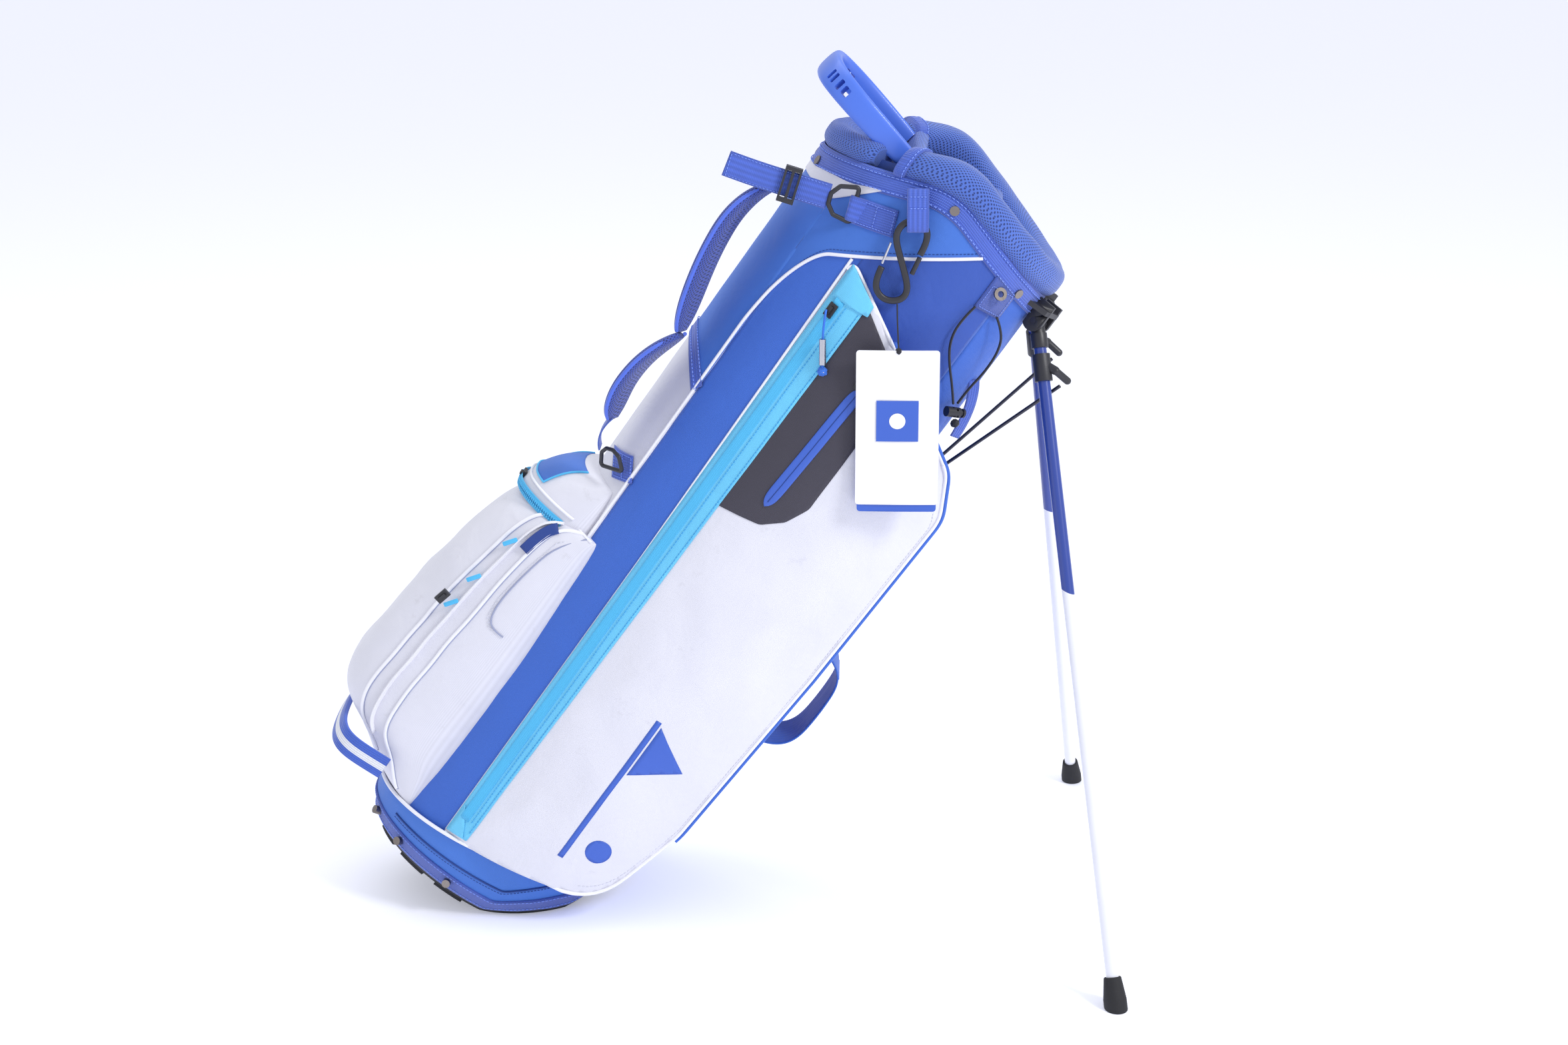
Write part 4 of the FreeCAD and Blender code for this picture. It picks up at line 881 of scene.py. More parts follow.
def build_valuables():
    outline = [(-25, 502), (20, 512), (38, 528), (49, 552), (49, 699), (-18.5, 741)]
    outline = round_corners(outline, [5, 14, 14, 14, 2, 1])
    patch("valuables_panel", outline, 1.0, "charcoal", "charcoal_fabric", 1.2, 0.5, 2.0, 5.0,
          stands_for=["valuables_pocket"], on_garment=True)
    path = [on_face(13 + (h - 537) * 0.055, h, 2.9) for h in steps(530, 676, 50)]
    out, across = zip_frame(path[20])

    def section(s, turn):
        end = 1 - abs(2 * s - 1) ** 14
        return rounded(turn, 6.4 * end + 0.2, 1.3 * end + 0.1, 0.7)
    piece("valuables_zip", loft(path, across, section, 24), "bag", "zip_tape", "print")
    groove = [p + out * 1.45 for p in path[2:-2]]
    tube("valuables_zip_line", groove, 0.45, "dark_thread")


def build_emblem():
    """A plain golf flag and ball printed on the pocket."""
    pole = [(52, 118), (58, 118), (58, 292), (52, 292)]
    flag = [(60, 228), (106, 256), (60, 288)]
    ball = [(84 + 13 * math.cos(t), 142 + 13 * math.sin(t)) for t in steps(0, 2 * math.pi, 28)[:-1]]
    for name, outline in (("emblem_pole", pole), ("emblem_flag", flag), ("emblem_ball", ball)):
        bm = cut_sheet(outline, 6.0)
        raise_sheet(bm, GARMENT_EDGE, 0.55, *GARMENT_FACE)
        face_away(bm, Vector((40, 0, 350)))
        piece(name, bm, "bag", "royal_fabric", "print", thickness=0.2)


def build_left_pocket():
    outline = round_corners(LEFT_OUTLINE, [10, 30, 40, 40, 20, 10])
    patch("left_face", outline, -5.8, "white", "white_fabric", 2.4, 1.4, 13.0, 7.0, side=1,
          stands_for=["left_pocket"], thickness=1.0)
    pocket_gusset("left_gusset", outline, -5.9, 1, "left_pocket", "royal_fabric", "royal", 100)
    edge = [on_pocket(p[0], p[1], -5.2, 1) for p in outline]
    piping("left_edge_piping", even_points(edge + edge[:1], 170))
    points = rib_line(20, 140, 520, -2.4, 1, 80)
    out, across = zip_frame(points[0], 1)
    zip_coil("left_zip", points, across, "deep_cyan", width=10)
    coil_teeth("left_zip_coil", points, across, "deep_cyan")


# ---------------------------------------------------------------- front pouches
class Pouch:
    """Padded pouch on the bag's front, bowed out along its side view."""

    def __init__(self, profile, half_width, taper, creases, seed):
        self.path = smooth_path(drawn(profile), 200)
        self.middle = Vector((-100, 0, (profile[0][1] + profile[-1][1]) / 2))
        self.half_width, self.taper = half_width, taper
        self.creases, self.seed = creases, seed

    def point(self, s, turn, lift=0.0):
        """s runs up the pouch; turn goes over it from the bag's left to its right."""
        outer = self.path[round(s * 199)]
        c, depth = rounded(turn, 1.0, 1.0, 0.42)
        width = self.half_width * (0.93 + 0.07 * math.sin(s * math.pi)) * (1 - self.taper * depth ** 3)
        b = c * width
        front = -BODY_A * math.sqrt(1 - (b / BODY_B) ** 2)
        crease = wrinkle(b * 1.1 + depth * 60, outer.z, 80, self.seed) * depth * math.sin(s * math.pi)
        out = max(0.0, -BODY_A - outer.x) + lift + self.creases * crease
        return Vector((front - out * depth, b * (1 + lift * 0.012), outer.z))

    def sheet(self, columns, rows, lift=0.0, turns=(0.0, math.pi), share=(0.0, 1.0)):
        def place(u, v):
            s = share[0] + (share[1] - share[0]) * v
            return self.point(s, turns[0] + (turns[1] - turns[0]) * u, lift)
        bm = grid(columns, rows, place, (0.3, 0.42))
        join_ring(bm, self.middle)
        return bm

    def line(self, turn, lift, start=0.0, end=1.0, count=60):
        return [self.point(s, turn, lift) for s in steps(start, end, count)]

    def rim(self, s, lift, turn0, turn1, count=50):
        return [self.point(s, turn, lift) for turn in steps(turn0, turn1, count)]


BALL_PROFILE = [(-124, 50), (-150, 60), (-171, 84), (-206, 98), (-220, 124), (-215, 180), (-208, 240),
                (-198, 310), (-183, 374), (-160, 388), (-124, 391)]
ACCESSORY_PROFILE = [(-126, 390), (-160, 379), (-182, 374), (-180, 390), (-166, 416), (-149, 432),
                     (-126, 440)]


def piped_line(name, points, radius=1.9):
    """Piping with the thin shadow line of its seam beside it."""
    piping(name, points, radius)
    inward = [p + Vector((1.6, 0, 0)) for p in points]
    tube(name + "_seam", inward, 1.1, "seam")


def build_front_pouches():
    ball = Pouch(BALL_PROFILE, 79, 0.22, 4.2, 31.0)
    piece("ball_pouch", ball.sheet(90, 110), "bag", "white_fabric", "white", ["ball_pocket"], thickness=1.2)
    for mirror, name in ((1, "right"), (-1, "left")):
        def turn(amount, mirror=mirror):
            return math.pi / 2 + mirror * (math.pi / 2 - amount)
        piped_line(name + "_ball_piping", ball.line(turn(0.42), 1.0, 0.05, 0.97))
        piped_line(name + "_ball_edge", ball.line(turn(0.86), 1.2, 0.12, 0.95))
        tape = ball.line(turn(0.62), 1.5, 0.2, 0.93)
        zip_coil(name + "_ball_zip", tape, Vector((0.5, mirror, 0.0)), "piping", width=9)
        inset = [(0.96, 0.20), (0.86, 0.235), (0.76, 0.27), (0.67, 0.29), (0.62, 0.26), (0.60, 0.18),
                 (0.60, 0.08)]
        # The inset's seam line is a painted shadow, drawn in the seam shadow finish.
        tube(name + "_inset_seam", [ball.point(s, turn(amount), 0.9) for s, amount in inset], 0.8, "seam")
        stitch = [ball.point(s, turn(amount + 0.03), 0.9) for s, amount in inset]
        white_stitches.row(stitch, 4.0, 2.4, 0.6)
        for share in (0.60, 0.68, 0.80):
            zip_tab(name + "_ball_tab_%d" % round(share * 100), ball.point(share, turn(0.64), 6.0))
        label_line = ball.line(turn(0.47), 3.2, 0.795, 0.90, 12)
        if mirror > 0:
            label = band(label_line, Vector((1.0, -0.2, 0.2)), 11, 1.0)
            piece("pouch_label", label, "bag", "royal_fabric", "lining")
    hem = ball.rim(0.97, 1.0, 0.1, math.pi - 0.1)
    piping("ball_top_piping", hem, 1.5)
    small = Pouch(ACCESSORY_PROFILE, 64, 0.40, 0.8, 41.0)
    piece("accessory_pouch", small.sheet(60, 60), "bag", "white_fabric", "white", ["accessory_pocket"],
          thickness=1.0)
    rim = small.rim(0.41, 1.6, 0.16, math.pi - 0.16, 60)
    across = Vector((-0.25, 0, 1))
    zip_coil("accessory_zip", rim, across, "deep_cyan", width=11)
    coil_teeth("accessory_zip_coil", rim, across, "deep_cyan")
    for s in (0.31, 0.51):
        piping("accessory_piping_%d" % round(s * 100), small.rim(s, 1.0, 0.1, math.pi - 0.1), 1.4)
    build_accessory_patch(small)
    build_grab_handle()


def zip_tab(name, spot):
    """Short moulded pull on one of the ball pouch's zips."""
    bm = bmesh.new()
    hang = Vector((spot.x - 5, spot.y, spot.z - 7))
    turn = (hang - spot).to_track_quat("X", "Y").to_matrix().to_4x4()
    shape = Matrix.Diagonal((15, 4.5, 2.6, 1))
    bmesh.ops.create_cube(bm, size=1.0, matrix=Matrix.Translation((spot + hang) / 2) @ turn @ shape)
    bmesh.ops.bevel(bm, geom=bm.edges[:], offset=0.9, segments=2, profile=0.5, affect="EDGES", material=-1)
    box_map(bm)
    piece(name, bm, "bag", "moulded_blue", "deep_cyan")


def build_accessory_patch(small):
    """Light blue patch on top of the accessory pouch, edged in cyan."""
    turns, share = (0.95, math.pi - 0.95), (0.56, 0.90)
    bm = small.sheet(24, 24, 1.0, turns, share)
    piece("accessory_patch", bm, "bag", "royal_fabric", "upper", thickness=0.4)
    edge = small.line(turns[0], 1.5, share[1], share[0], 10) + small.rim(share[0], 1.5, *turns, 16)
    edge += small.line(turns[1], 1.5, share[0], share[1], 10)
    tube("accessory_patch_edge", edge, 1.0, "deep_cyan")


def build_grab_handle():
    half = [(-132, 80.2), (-158, 81.5), (-176, 80.5), (-189, 66), (-194, 34)]
    corners = [Vector((a, -b, 76)) for a, b in half] + [Vector((a, b, 76)) for a, b in reversed(half)]
    path = smooth_path(corners, 90)

    def section(s, turn):
        return rounded(turn, 12, 1.7 + 1.3 * math.sin(s * math.pi), 0.5)
    bm = loft(path, -DOWN, section, 32)
    cloth = bm.loops.layers.uv["cloth"]
    for face in bm.faces:
        for loop in face.loops:
            loop[cloth].uv = (loop[cloth].uv.x, (loop.vert.co.z - 64) * MM)
    piece("grab_strap", bm, "bag", "striped_webbing", "striped", ["grab_handle"])


# ---------------------------------------------------------------- mouth
def ring_point(turn, out, rise):
    """Point near the collar's centre line, by how far out of it and above the roof it lies."""
    h = roof(COLLAR_A * math.cos(turn)) + rise
    return Vector(((COLLAR_A + out) * math.cos(turn), (COLLAR_B + out) * math.sin(turn), h))


def build_mouth():
    rolls = [("collar_roll", -ROLL_END, ROLL_END, 260, 18.5, 16.5),
             ("front_roll", FRONT_ROLL_END, 2 * math.pi - FRONT_ROLL_END, 120, 17.5, 13.5)]
    for name, turn0, turn1, columns, half_out, half_rise in rolls:
        def place(u, v):
            turn = turn0 + (turn1 - turn0) * u
            swell = 1 + 0.05 * noise.noise(Vector((turn * 5, 0.3, 2.0)))
            out, rise = rounded(v * 2 * math.pi, half_out * swell, half_rise * swell, 0.72)
            tuck = 1 - 0.35 * (abs(2 * u - 1) ** 40)
            return ring_point(turn, out * tuck + 1.5, 17 + half_rise + rise * tuck)

        bm = grid(columns, 36, place, (0.104 * (turn1 - turn0), 0.115))
        close(bm)
        stands = ["collar_pad"] if name == "collar_roll" else []
        piece(name, bm, "bag", "royal_fabric", "mesh", stands)
    for side, name in SIDES:
        build_cuff(side, name)
    build_trim()
    build_dividers()
    build_lift_handle()


def build_cuff(side, name):
    """Bound end of the collar roll at a root of the handle."""
    def place(u, v):
        turn = side * (ROLL_END - 0.055 + (u - 0.5) * 0.085)
        puff = 1.1 * math.sin(u * math.pi)
        out, rise = rounded(v * 2 * math.pi, 19.2 + puff, 17.2 + puff, 0.72)
        return ring_point(turn, out + 1.5, 33.5 + rise)

    bm = grid(10, 36, place, (0.009, 0.12))
    piece(name + "_cuff", close(bm), "bag", "webbing", "webbing", ["handle_cuffs"])
    ring = []
    for v in steps(0, 1, 40):
        out, rise = rounded(v * 2 * math.pi, 20.2, 18.2, 0.72)
        ring.append(ring_point(side * (ROLL_END - 0.085), out + 1.5, 33.5 + rise))
    blue_stitches.row(ring, 3.8)


def build_trim():
    """Webbing round the mouth with two rows of stitches, and the lining inside it."""
    def place(u, v):
        turn = u * 2 * math.pi
        a = BODY_A * math.cos(turn)
        return on_oval(turn, roof(a) + TRIM_W * v, 2.2 + 0.8 * math.sin(v * math.pi))

    bm = grid(260, 6, place, (0.73, 0.023))
    join_ring(bm, Vector((0, 0, 850)))
    piece("mouth_trim", bm, "bag", "webbing", "webbing", ["collar_trim"], thickness=1.5)
    for rise in (3.0, TRIM_W - 5):
        row = [on_oval(t, roof(BODY_A * math.cos(t)) + rise, 3.4) for t in steps(0, 2 * math.pi, 220)]
        blue_stitches.row(row, 4.6, 3.0, 0.8)

    def lining(u, v):
        turn = u * 2 * math.pi
        a = (BODY_A - 10) * math.cos(turn)
        return on_oval(turn, roof(a) + 30 - 120 * v, -10.2)
    bm = grid(120, 16, lining, (0.65, 0.12))
    join_ring(bm, Vector((0, 0, 850)))
    bmesh.ops.reverse_faces(bm, faces=bm.faces)
    piece("mouth_lining", bm, "bag", "dark_fabric", "lining", thickness=0.8)


def build_dividers():
    """Padded bars across the mouth, and the one between them."""
    def pad(name, start, end, sag):
        path = [start.lerp(end, t) + DOWN * (sag * math.sin(t * math.pi)) for t in steps(0, 1, 30)]
        bm = loft(path, -DOWN, lambda s, turn: rounded(turn, 36, 9.0 + 0.8 * math.sin(s * 9), 0.6), 28)
        cloth = bm.loops.layers.uv["cloth"]
        for face in bm.faces:
            for loop in face.loops:
                spot = loop.vert.co
                loop[cloth].uv = ((spot.x + spot.y) * MM, (spot.z + spot.x * 0.3) * MM)
        piece(name, bm, "bag", "dark_fabric", "mesh", ["dividers"])

    front_h, rear_h = roof(-48) + 8, roof(44) + 8
    pad("front_divider", Vector((-48, -86, front_h)), Vector((-48, 86, front_h)), 7)
    pad("rear_divider", Vector((44, -88, rear_h)), Vector((44, 88, rear_h)), 7)
    pad("middle_divider", Vector((-42, 0, front_h - 9)), Vector((38, 0, rear_h - 9)), 1)


def build_lift_handle():
    """Moulded handle: a crowned band that leaves the collar at both sides."""
    root, tip = Vector((-72, 0, 868)), Vector((-168, 0, 889))
    forward = (tip - root).normalized()
    rise = Vector((-forward.z, 0, forward.x)).normalized() * -1
    half = [(-14, 64), (10, 66), (42, 67), (72, 60), (92, 44), (97.5, 18)]
    corners = [root + forward * u + Vector((0, -w, 0)) for u, w in half]
    corners += [root + forward * u + Vector((0, w, 0)) for u, w in reversed(half)]
    path = smooth_path(corners, 110)

    def section(s, turn):
        middle = math.sin(s * math.pi)
        width, thick = rounded(turn, 9.5 + 4.3 * middle ** 0.7, 3.2 + 1.8 * middle, 0.62)
        crown = (1.2 if thick > 0 else 0.6) * (1 - (width / 15) ** 2)
        return width, thick + math.copysign(crown, thick)

    bm = loft(path, rise, section, 28)
    obj = piece("handle_grip", bm, "bag", "handle_plastic", "handle", ["lift_handle"])
    cut_slots(obj, path, rise)


def cut_slots(obj, path, rise):
    """Four slots through each shoulder of the handle."""
    cutter = bmesh.new()
    slots = ((0.36, 4, 11), (0.335, 4, 11), (0.31, 5, 11), (0.28, 8, 9))
    for side in (-1, 1):
        for share, length, width in slots:
            i = round((share if side < 0 else 1 - share) * (len(path) - 1))
            along = (path[i + 1] - path[i - 1]).normalized()
            across = (rise - along * rise.dot(along)).normalized()
            turn = Matrix((along, across, along.cross(across))).transposed().to_4x4()
            shape = Matrix.Diagonal((length, width, 30, 1.0))
            bmesh.ops.create_cube(cutter, size=1.0, matrix=Matrix.Translation(path[i]) @ turn @ shape)
    bmesh.ops.bevel(cutter, geom=cutter.edges[:], offset=1.2, segments=2, profile=0.5, affect="EDGES",
                    material=-1)
    mesh = bpy.data.meshes.new("slots")
    cutter.to_mesh(mesh)
    cutter.free()
    mesh.transform(LEAN)
    tool = bpy.data.objects.new("slots", mesh)
    bpy.context.scene.collection.objects.link(tool)
    cut = obj.modifiers.new("slots", "BOOLEAN")
    cut.object = tool
    cut.solver = "EXACT"
    bpy.context.view_layer.update()
    shaped = bpy.data.meshes.new_from_object(obj.evaluated_get(bpy.context.evaluated_depsgraph_get()))
    obj.modifiers.clear()
    shaped.name = "handle_grip"
    obj.data = shaped
    obj.data.shade_smooth()
    obj.data.set_sharp_from_angle(angle=math.radians(38))
    bpy.data.objects.remove(tool)


# ---------------------------------------------------------------- strap, rings and tabs
STRAP_B = -88.0
PAD_ACROSS = Vector((0.34, 1, 0.06))     # the strap's pads hang a little twisted


def build_strap():
    """Webbing and the two padded pieces of the carrying strap."""
    run = [Vector((a, STRAP_B + 0.9, 799 + (a + 106) * STRAP_SLOPE)) for a in (-104, -125, -150, -175, -199)]
    run[-1] += Vector((0, -3, 2))
    path = smooth_path(run, 50)
    up = Vector((STRAP_SLOPE, 0, -1))
    piece("upper_webbing", band(path, up, 24.4, 1.9), "bag", "webbing", "webbing", ["strap_webbing"])
    for shift in (-10.4, 10.4):
        side = up.normalized() * shift
        blue_stitches.row([p + side + Vector((0, -1.2, 0)) for p in path[2:-2]], 3.4, 2.0, 0.5)
    tail = [path[-1] + up.normalized() * s + Vector((2.5, -1.2, 0)) for s in steps(-11, 11, 10)]
    blue_stitches.row(tail, 3.0, 2.0, 0.6)
    shoulder = [(-143, 778), (-154, 770), (-165, 743), (-165, 705), (-156, 655), (-142, 610)]
    waist = [(-139, 606), (-151, 582), (-158, 552), (-156, 522), (-147, 501)]
    pads = [("shoulder_cushion", "shoulder_pad", shoulder, 12.0), ("waist_cushion", "waist_pad", waist, 11.0)]
    for name, node, outline, thick in pads:
        path = smooth_path(drawn(outline, -58), 70)

        def section(s, turn, thick=thick):
            end = 1 - 0.55 * abs(2 * s - 1) ** 6
            return rounded(turn, 24.5 * end, thick / 2 * (1 - 0.4 * abs(2 * s - 1) ** 4), 0.55)
        bm = loft(path, PAD_ACROSS, section, 32)
        piece(name, bm, "bag", "mesh_padding", "dark_mesh", [node])
        for side, word in SIDES:
            reach = PAD_ACROSS.normalized() * (side * 24.2)
            ends = steps(-1, 1, len(path) - 1)
            edge = [p + reach * (1 - 0.55 * abs(s) ** 6) for p, s in zip(path, ends)]
            tube("%s_%s_edge" % (name, word), edge, 2.0, "binding")
    lower = smooth_path(drawn([(-147, 503), (-151, 489), (-148, 477), (-140, 470)], -58.5), 24)
    piece("lower_webbing", band(lower, Vector((0, 1, 0)), 24.4, 1.9), "bag", "webbing", "webbing")


def stitched_box(a0, a1, h0, h1, lift):
    corners = [(a0, h0), (a1, h0), (a1, h1), (a0, h1), (a0, h0)]
    for (a, h), (c, d) in zip(corners, corners[1:]):
        row = [on_side(a + (c - a) * t, h + (d - h) * t, lift) for t in steps(0, 1, 8)]
        blue_stitches.row(row, 3.0, 2.0, 0.55)


def slanted_tab(name, start, end, width, lift):
    """Webbing sewn on the bag's right side along a slanted line in a and h."""
    (a0, h0), (a1, h1) = start, end
    run = Vector((a1 - a0, 0, h1 - h0))
    across = Vector((-run.z, 0, run.x)).normalized() * (width / 2)

    def place(u, v):
        a = a0 + run.x * u + across.x * (2 * v - 1)
        h = h0 + run.z * u + across.z * (2 * v - 1)
        return on_side(a, h, lift)
    bm = grid(14, 10, place, (run.length * MM, width * MM))
    face_away(bm, Vector((0, 0, 780)))
    made = piece(name, bm, "bag", "webbing", "webbing", thickness=1.6)
    for v in (0.1, 0.9):
        blue_stitches.row([place(u, v) + Vector((0, -0.8, 0)) for u in steps(0.05, 0.95, 10)], 3.2, 2.1, 0.6)
    for u in (0.06, 0.5, 0.94):
        blue_stitches.row([place(u, v) + Vector((0, -0.8, 0)) for v in steps(0.1, 0.9, 8)], 3.2, 2.1, 0.6)
    return made


def build_tabs():
    """Sewn tabs, and the webbing folds that hold the ring, the clip and the elastic."""
    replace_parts(slanted_tab("ring_tab", (-76, 803), (-40, 816), 25, 3.0), "sewn_tabs")
    fold = [(-74, -84.5, 804), (-80, -85, 802.5), (-85.5, -88, 801.5), (-81, -91.5, 803), (-74, -89.5, 805),
            (-68, -88.5, 806.5)]
    loop = smooth_path([Vector(p) for p in fold], 36)
    piece("ring_fold", band(loop, Vector((-0.34, 0, 0.94)), 24, 1.7), "bag", "webbing", "webbing")
    slanted_tab("lower_ring_tab", (-118, 459), (-101, 470), 24, 2.6)
    tab = oval_panel(turn_at(64, -1), turn_at(92, -1), lambda a: 794, lambda a: roof(a) + 4, 2.9, 14, 12, 0.0)
    piece("eyelet_tab", tab, "bag", "webbing", "webbing", thickness=1.6)
    stitched_box(66.5, 89.5, 797, 820, 3.6)
    hang = CLIP_BAR
    outline = [(-6.2, 32), (-6.3, 14), (-6.0, 0), (-4.2, -5.4), (0, -7.0), (4.4, -5.2), (6.3, 0), (5.4, 12),
               (1.6, 27), (-1.5, 33)]
    loop = smooth_path([Vector((hang.x, hang.y - y, hang.z + z)) for y, z in outline], 60)
    upright_piece("clip_fold", band(loop, Vector((1, 0, 0)), 20, 1.6), "bag", "webbing", "webbing")
    for z in (16, 26):
        front = hang.y - 6.8 + 0.3 * (z - 12)
        row = [Vector((hang.x + x, front, hang.z + z)) * MM for x in steps(-8, 8, 6)]
        blue_stitches.row([LEAN.inverted() @ p for p in row], 3.2, 2.1, 0.6)
    anchor = smooth_path(drawn([(445.5, 548), (446.5, 532), (441, 512), (428, 491)], -47), 30)
    bm = band(anchor, Vector((0.8, 0.4, 0.3)), 12, 1.7)
    upright_piece("elastic_anchor", bm, "bag", "webbing", "webbing")


def upright_piece(name, bm, *settings):
    """Piece drawn in millimetres above the ground, so it isn't leaned over."""
    bmesh.ops.scale(bm, vec=(MM, MM, MM), verts=bm.verts)
    piece(name, bm, *settings, leaned=False)


CLIP_CENTRE = Vector((373.0, -112.5, 677.0))
CLIP_LEAN = math.radians(19)


def clip_point(u, v):
    c, s = math.cos(CLIP_LEAN), math.sin(CLIP_LEAN)
    return CLIP_CENTRE + Vector((u * c + v * s, 0, -u * s + v * c))


CLIP_BAR = clip_point(3.5, 36.6)


# ---------------------------------------------------------------- cords and tag
LEFT_STRAND = [(0.443, -0.094, 0.630), (0.429, -0.098, 0.617), (0.420, -0.097, 0.598),
               (0.420, -0.089, 0.575), (0.424, -0.077, 0.549), (0.4255, -0.069, 0.530)]
RIGHT_STRAND = [(0.464, -0.081, 0.617), (0.470, -0.076, 0.601), (0.467, -0.071, 0.582),
                (0.455, -0.070, 0.562), (0.439, -0.069, 0.544), (0.4295, -0.068, 0.530)]
TAG_STRING = [(0.3704, -0.113, 0.6366), (0.3706, -0.118, 0.622), (0.3714, -0.126, 0.609),
              (0.372, -0.134, 0.597)]
PULL_CORD = [(0.305, -0.1094, 0.630), (0.3034, -0.114, 0.621), (0.3022, -0.1164, 0.610),
             (0.3019, -0.118, 0.594), (0.3018, -0.119, 0.577)]


def lumpy_knot(name, centre, radius, body, finish="cord"):
    knot = bmesh.new()
    centre = Vector(centre)
    bmesh.ops.create_icosphere(knot, subdivisions=3, radius=radius, matrix=Matrix.Translation(centre))
    for vert in knot.verts:
        vert.co += (vert.co - centre) * 0.25 * noise.noise(vert.co * 500)
    box_map(knot, 1.0)
    return piece(name, knot, body, "elastic", finish, leaned=False)


def build_cords():
    """The elastic's two strands, the tag's string and the zip's pull cord."""
    knot = lumpy_knot("elastic_knot", (0.4275, -0.0675, 0.5105), 0.0042, "bag")
    left = tube("left_strand", LEFT_STRAND, 1.25, "cord", leaned=False,
                stands_for=["elastic_loop"])
    right = tube("right_strand", RIGHT_STRAND, 1.25, "cord", leaned=False,
                 stands_for=["elastic_loop"])
    string = tube("tag_cord", TAG_STRING, 0.75, "cord", "tag", leaned=False,
                  stands_for=["tag_string"])
    pull = tube("pull_cord", PULL_CORD, 1.1, "blue_cord", "garment_pull", leaned=False,
                stands_for=["zip_pull_cord"])
    build_tag()
    knot = lumpy_knot("tag_knot", TAG_STRING[-1], 0.0032, "tag")
    low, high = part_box("zip_pull")
    under_barrel = ((low.x + high.x) / 2, (low.y + high.y) / 2, low.z + 0.0034)
    lumpy_knot("pull_knot", under_barrel, 0.0046, "garment_pull", "blue_cord")


def build_tag():
    """Front card with a blue square and a white dot, and the blue card behind it."""
    low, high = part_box("tag_cards")
    centre_x = (low.x + high.x) / 2

    def bow(bm):
        """Bends a card a little about its upright middle line."""
        for vert in bm.verts:
            vert.co.y += 0.0009 * ((vert.co.x - centre_x) / 0.04) ** 2

    def facing(lift):
        spot = Matrix.Translation((centre_x, low.y - lift, high.z - 0.067))
        return spot @ Matrix.Rotation(math.pi / 2, 4, "X")

    cards = [("front_card", "card", low.y + 0.0002, high.z, 0.077, ["tag_cards"]),
             ("back_card", "print", high.y - 0.0012, high.z - 0.007, 0.074, [])]
    height = 0.148
    for name, finish, y, top, width, stands in cards:
        bm = bmesh.new()
        shape = Matrix.Diagonal((width, 0.0009, height, 1))
        spot = Matrix.Translation((centre_x, y + 0.0005, top - height / 2))
        bmesh.ops.create_cube(bm, size=1.0, matrix=spot @ shape)
        uprights = [e for e in bm.edges if abs((e.verts[0].co - e.verts[1].co).y) > 0.0005]
        bmesh.ops.bevel(bm, geom=uprights, offset=0.003, segments=4, profile=0.5, affect="EDGES", material=-1)
        long_edges = [e for e in bm.edges if e.calc_length() > 0.05]
        bmesh.ops.subdivide_edges(bm, edges=long_edges, cuts=12, use_grid_fill=True)
        bow(bm)
        box_map(bm, 1.0)
        piece(name, bm, "tag", "card", finish, stands, leaned=False, sharp=40)
    square = bmesh.new()
    bmesh.ops.create_grid(square, x_segments=12, y_segments=12, size=0.0195, matrix=facing(0.0001))
    bow(square)
    box_map(square, 1.0)
    piece("card_square", square, "tag", "royal_fabric", "print", leaned=False)
    dot = bmesh.new()
    bmesh.ops.create_circle(dot, cap_ends=True, segments=40, radius=0.0075, matrix=facing(0.0003))
    box_map(dot, 1.0)
    piece("card_dot", dot, "tag", "white_fabric", "card", leaned=False)


# ---------------------------------------------------------------- leg side
def build_leg_side():
    """Mesh cushion over the push rods, and the loop for a cart's strap."""
    def place(u, v):
        turn = math.pi * (v - 0.5)
        s = 2 * u - 1
        end = (1 - abs(s) ** 6) ** 0.35
        width, rise = rounded(turn + math.pi / 2, 25, 29, 0.55)
        h = 200 + 345 * u
        a = 124 + max(0.0, rise) * (0.5 + 0.5 * end) * (0.85 + 0.15 * u)
        return Vector((a, width * (0.9 + 0.1 * end), h))

    bm = grid(60, 30, place, (0.345, 0.1))
    face_away(bm, Vector((120, 0, 370)))
    cushion = piece("spine_cushion", bm, "bag", "mesh_padding", "dark_mesh", ["hip_pad"], thickness=3.0)
    for side, name in SIDES:
        edge = [place(u, 0.5 + side * 0.48) for u in steps(0, 1, 40)]
        tube("spine_cushion_edge_" + name, edge, 1.8, "binding")
    outline = [(157, 298), (172, 300), (193, 312), (196, 345), (196, 375), (193, 403), (172, 413), (157, 416)]
    path = smooth_path(drawn(outline), 60)
    piece("cart_strap_loop", band(path, Vector((0, 1, 0)), 60, 2.4), "bag", "webbing", "royal", ["cart_loop"])
    for i in (14, 45):
        blue_stitches.row([path[i] + Vector((1.6, b, 0)) for b in steps(-28, 28, 20)])


MOULDINGS = ["leg_bracket", "right_leg_head", "left_leg_head", "right_leg_hook", "left_leg_hook"]
BOOTS = ["right_leg_foot", "left_leg_foot"]


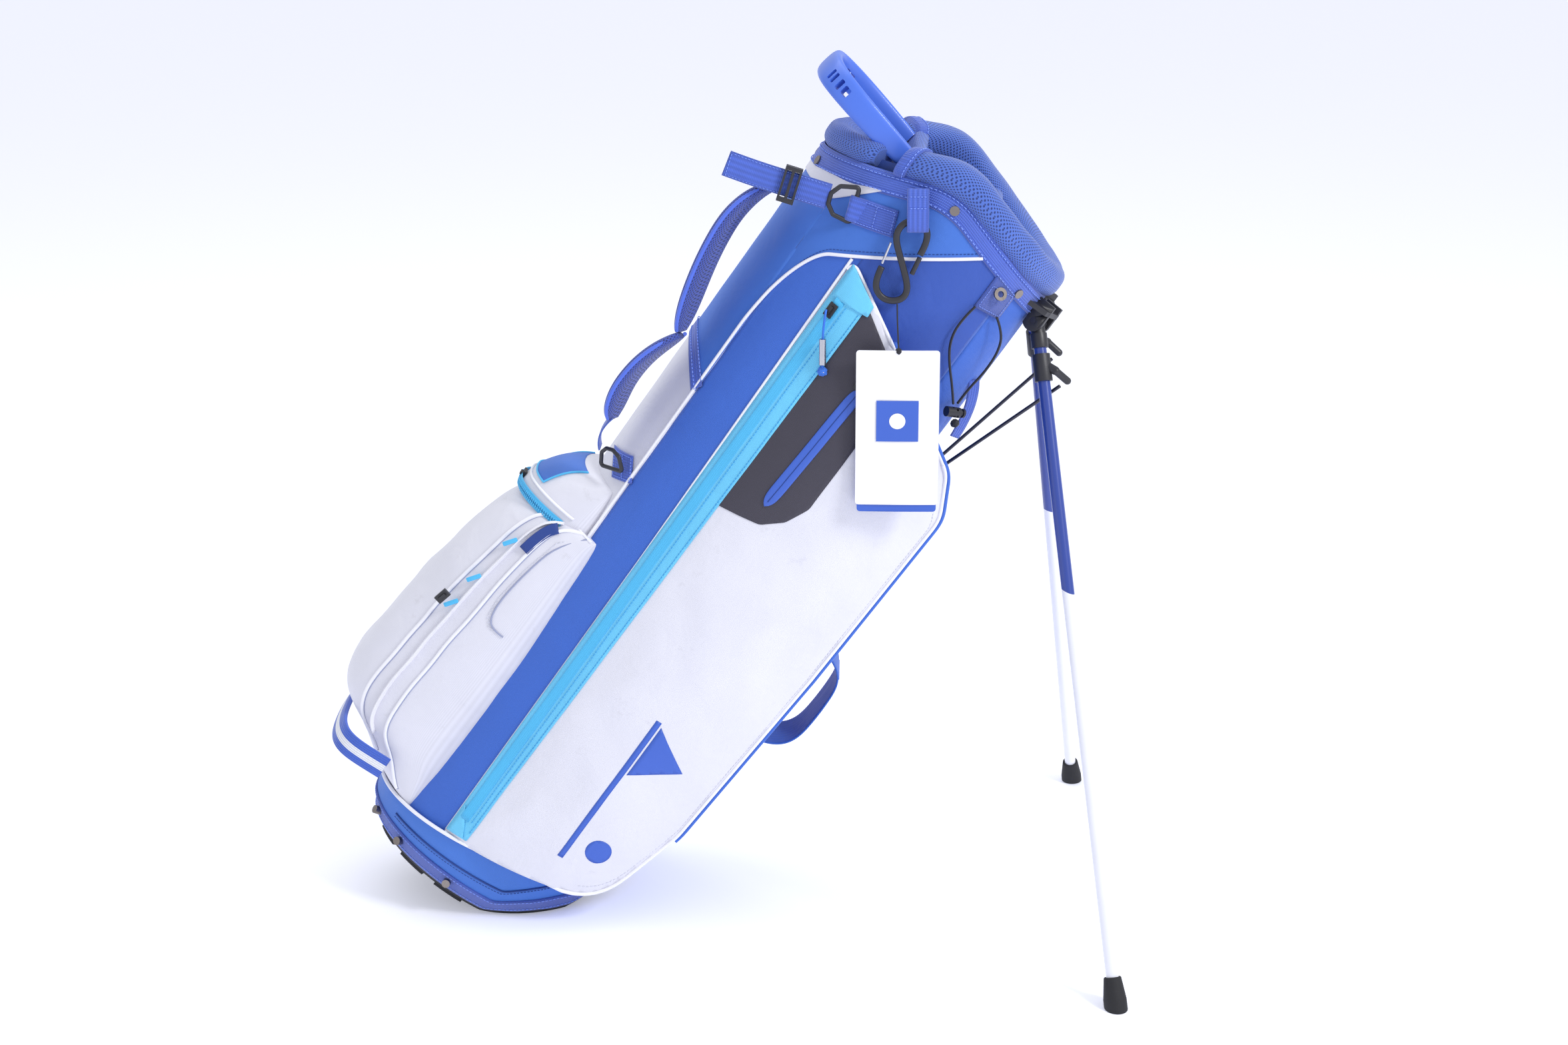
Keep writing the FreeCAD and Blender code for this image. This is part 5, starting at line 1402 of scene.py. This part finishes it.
def softened(node, finish, width):
    """Copy of a moulded CAD piece with its edges rounded."""
    source = frame["nodes"][node]
    bm = bmesh.new()
    bm.from_mesh(source.data)
    bmesh.ops.remove_doubles(bm, verts=bm.verts, dist=0.00002)
    bmesh.ops.dissolve_limit(bm, angle_limit=math.radians(1), verts=bm.verts, edges=bm.edges)
    sharp = [e for e in bm.edges if len(e.link_faces) == 2 and e.calc_face_angle(0) > math.radians(28)]
    bmesh.ops.bevel(bm, geom=sharp, offset=width, segments=3, profile=0.5, affect="EDGES", material=-1,
                    clamp_overlap=True)
    bmesh.ops.triangulate(bm, faces=[f for f in bm.faces if len(f.verts) > 4])
    box_map(bm, 1.0)
    body = next(name for name, nodes in frame["record"]["behaviour"]["bodies"].items() if node in nodes)
    slot = next(part["material_slot"] for part in frame["record"]["subparts"] if part["node"] == node)
    piece(node + "_moulding", bm, body, slot, finish, [node], leaned=False, sharp=35)


def build_clip():
    """Flat, rounded body of the double clip."""
    outline = [(15, 11), (17, 22), (15, 36), (4, 39), (-7, 37), (-12, 28), (-12, 18), (0, 1), (12, -16),
               (16, -26), (13, -35), (1, -40), (-11, -36), (-16, -26), (-14.5, -11)]
    path = smooth_path([clip_point(u, v) for u, v in outline], 120)
    bm = loft(path, Vector((0, 1, 0)), lambda s, turn: rounded(turn, 2.6, 3.1, 0.8), 20)
    upright_piece("clip_body", bm, "clip", "moulded_black", "black", ["clip_frame"])


def paint_nodes():
    """Finishes for the pieces whose shape is carried over."""
    groups = {
        "black": ["body_stays", "mouth_ring", "toe_plate", "upper_d_ring", "lower_d_ring", "tri_glide",
                  "clip_upper_gate", "garment_zip_slider", "valuables_zip_slider", "ball_zip_slider",
                  "accessory_zip_slider", "cord_toggle", "toggle_button"],
        "rubber": ["base_sole"],
        "steel": ["hinge_pins", "push_rods", "right_link", "left_link"],
        "nickel": ["rivets", "left_zip_slider"],
        "silver": ["clip_lower_gate", "zip_pull"],
        "legs": ["right_leg_tube", "left_leg_tube"],
    }
    for finish, names in groups.items():
        for name in names:
            data = frame["nodes"][name].data
            data.materials.clear()
            data.materials.append(finishes[finish])


# ---------------------------------------------------------------- stage
def build_stage():
    """White floor, soft daylight, three lamps and the camera."""
    bm = bmesh.new()
    bmesh.ops.create_grid(bm, x_segments=1, y_segments=1, size=30)
    mesh = bpy.data.meshes.new("floor")
    bm.to_mesh(mesh)
    bm.free()
    floor = bpy.data.objects.new("floor", mesh)
    bpy.context.scene.collection.objects.link(floor)
    recipe = Recipe("floor_paint", 0.6)
    recipe.shader.inputs["Emission Color"].default_value = paint("F0F2FF")
    recipe.shader.inputs["Emission Strength"].default_value = 0.30
    mesh.materials.append(recipe.finish(paint("F4F5FD")))

    world = bpy.data.worlds.new("studio")
    world.use_nodes = True
    world.node_tree.nodes["Background"].inputs["Color"].default_value = (0.93, 0.95, 1.0, 1.0)
    world.node_tree.nodes["Background"].inputs["Strength"].default_value = 0.72
    bpy.context.scene.world = world
    bpy.context.scene.view_settings.view_transform = "Standard"
    lamps = [("key", (2.4, -1.5, 2.3), 0.7, 52), ("fill", (-2.4, -1.8, 1.6), 2.2, 5),
             ("top", (-0.3, 0.8, 3.0), 2.4, 26)]
    for name, spot, size, power in lamps:
        light = bpy.data.lights.new(name, "AREA")
        light.size = size
        light.energy = power
        lamp = bpy.data.objects.new(name, light)
        lamp.location = spot
        lamp.rotation_euler = (Vector((0.25, 0, 0.35)) - Vector(spot)).to_track_quat("-Z", "Y").to_euler()
        bpy.context.scene.collection.objects.link(lamp)

    turn, dip = math.radians(1.5), math.radians(17.67)
    data = bpy.data.cameras.new("camera")
    data.sensor_width = 36.0
    data.lens = 61.2
    camera = bpy.data.objects.new("camera", data)
    camera.location = (0.329, -2.515, 1.190)
    ahead = Vector((-math.sin(turn) * math.cos(dip), math.cos(turn) * math.cos(dip), -math.sin(dip)))
    camera.rotation_euler = ahead.to_track_quat("-Z", "Y").to_euler()
    bpy.context.scene.collection.objects.link(camera)
    bpy.context.scene.camera = camera


build_stage()
build_cords()
build_body()
build_yoke()
build_base()
build_garment_pocket()
build_left_pocket()
build_front_pouches()
build_mouth()
build_strap()
build_tabs()
build_leg_side()
build_clip()
for moulding in MOULDINGS:
    softened(moulding, "black", 0.0016)
for boot in BOOTS:
    softened(boot, "rubber", 0.0012)
paint_nodes()
blue_stitches.finish("blue_stitching", "thread", "webbing")
cyan_stitches.finish("cyan_stitching", "cyan_thread", "cyan_fabric")
dark_stitches.finish("dark_stitching", "dark_thread", "dark_fabric")
white_stitches.finish("white_stitching", "white_thread", "white_fabric")
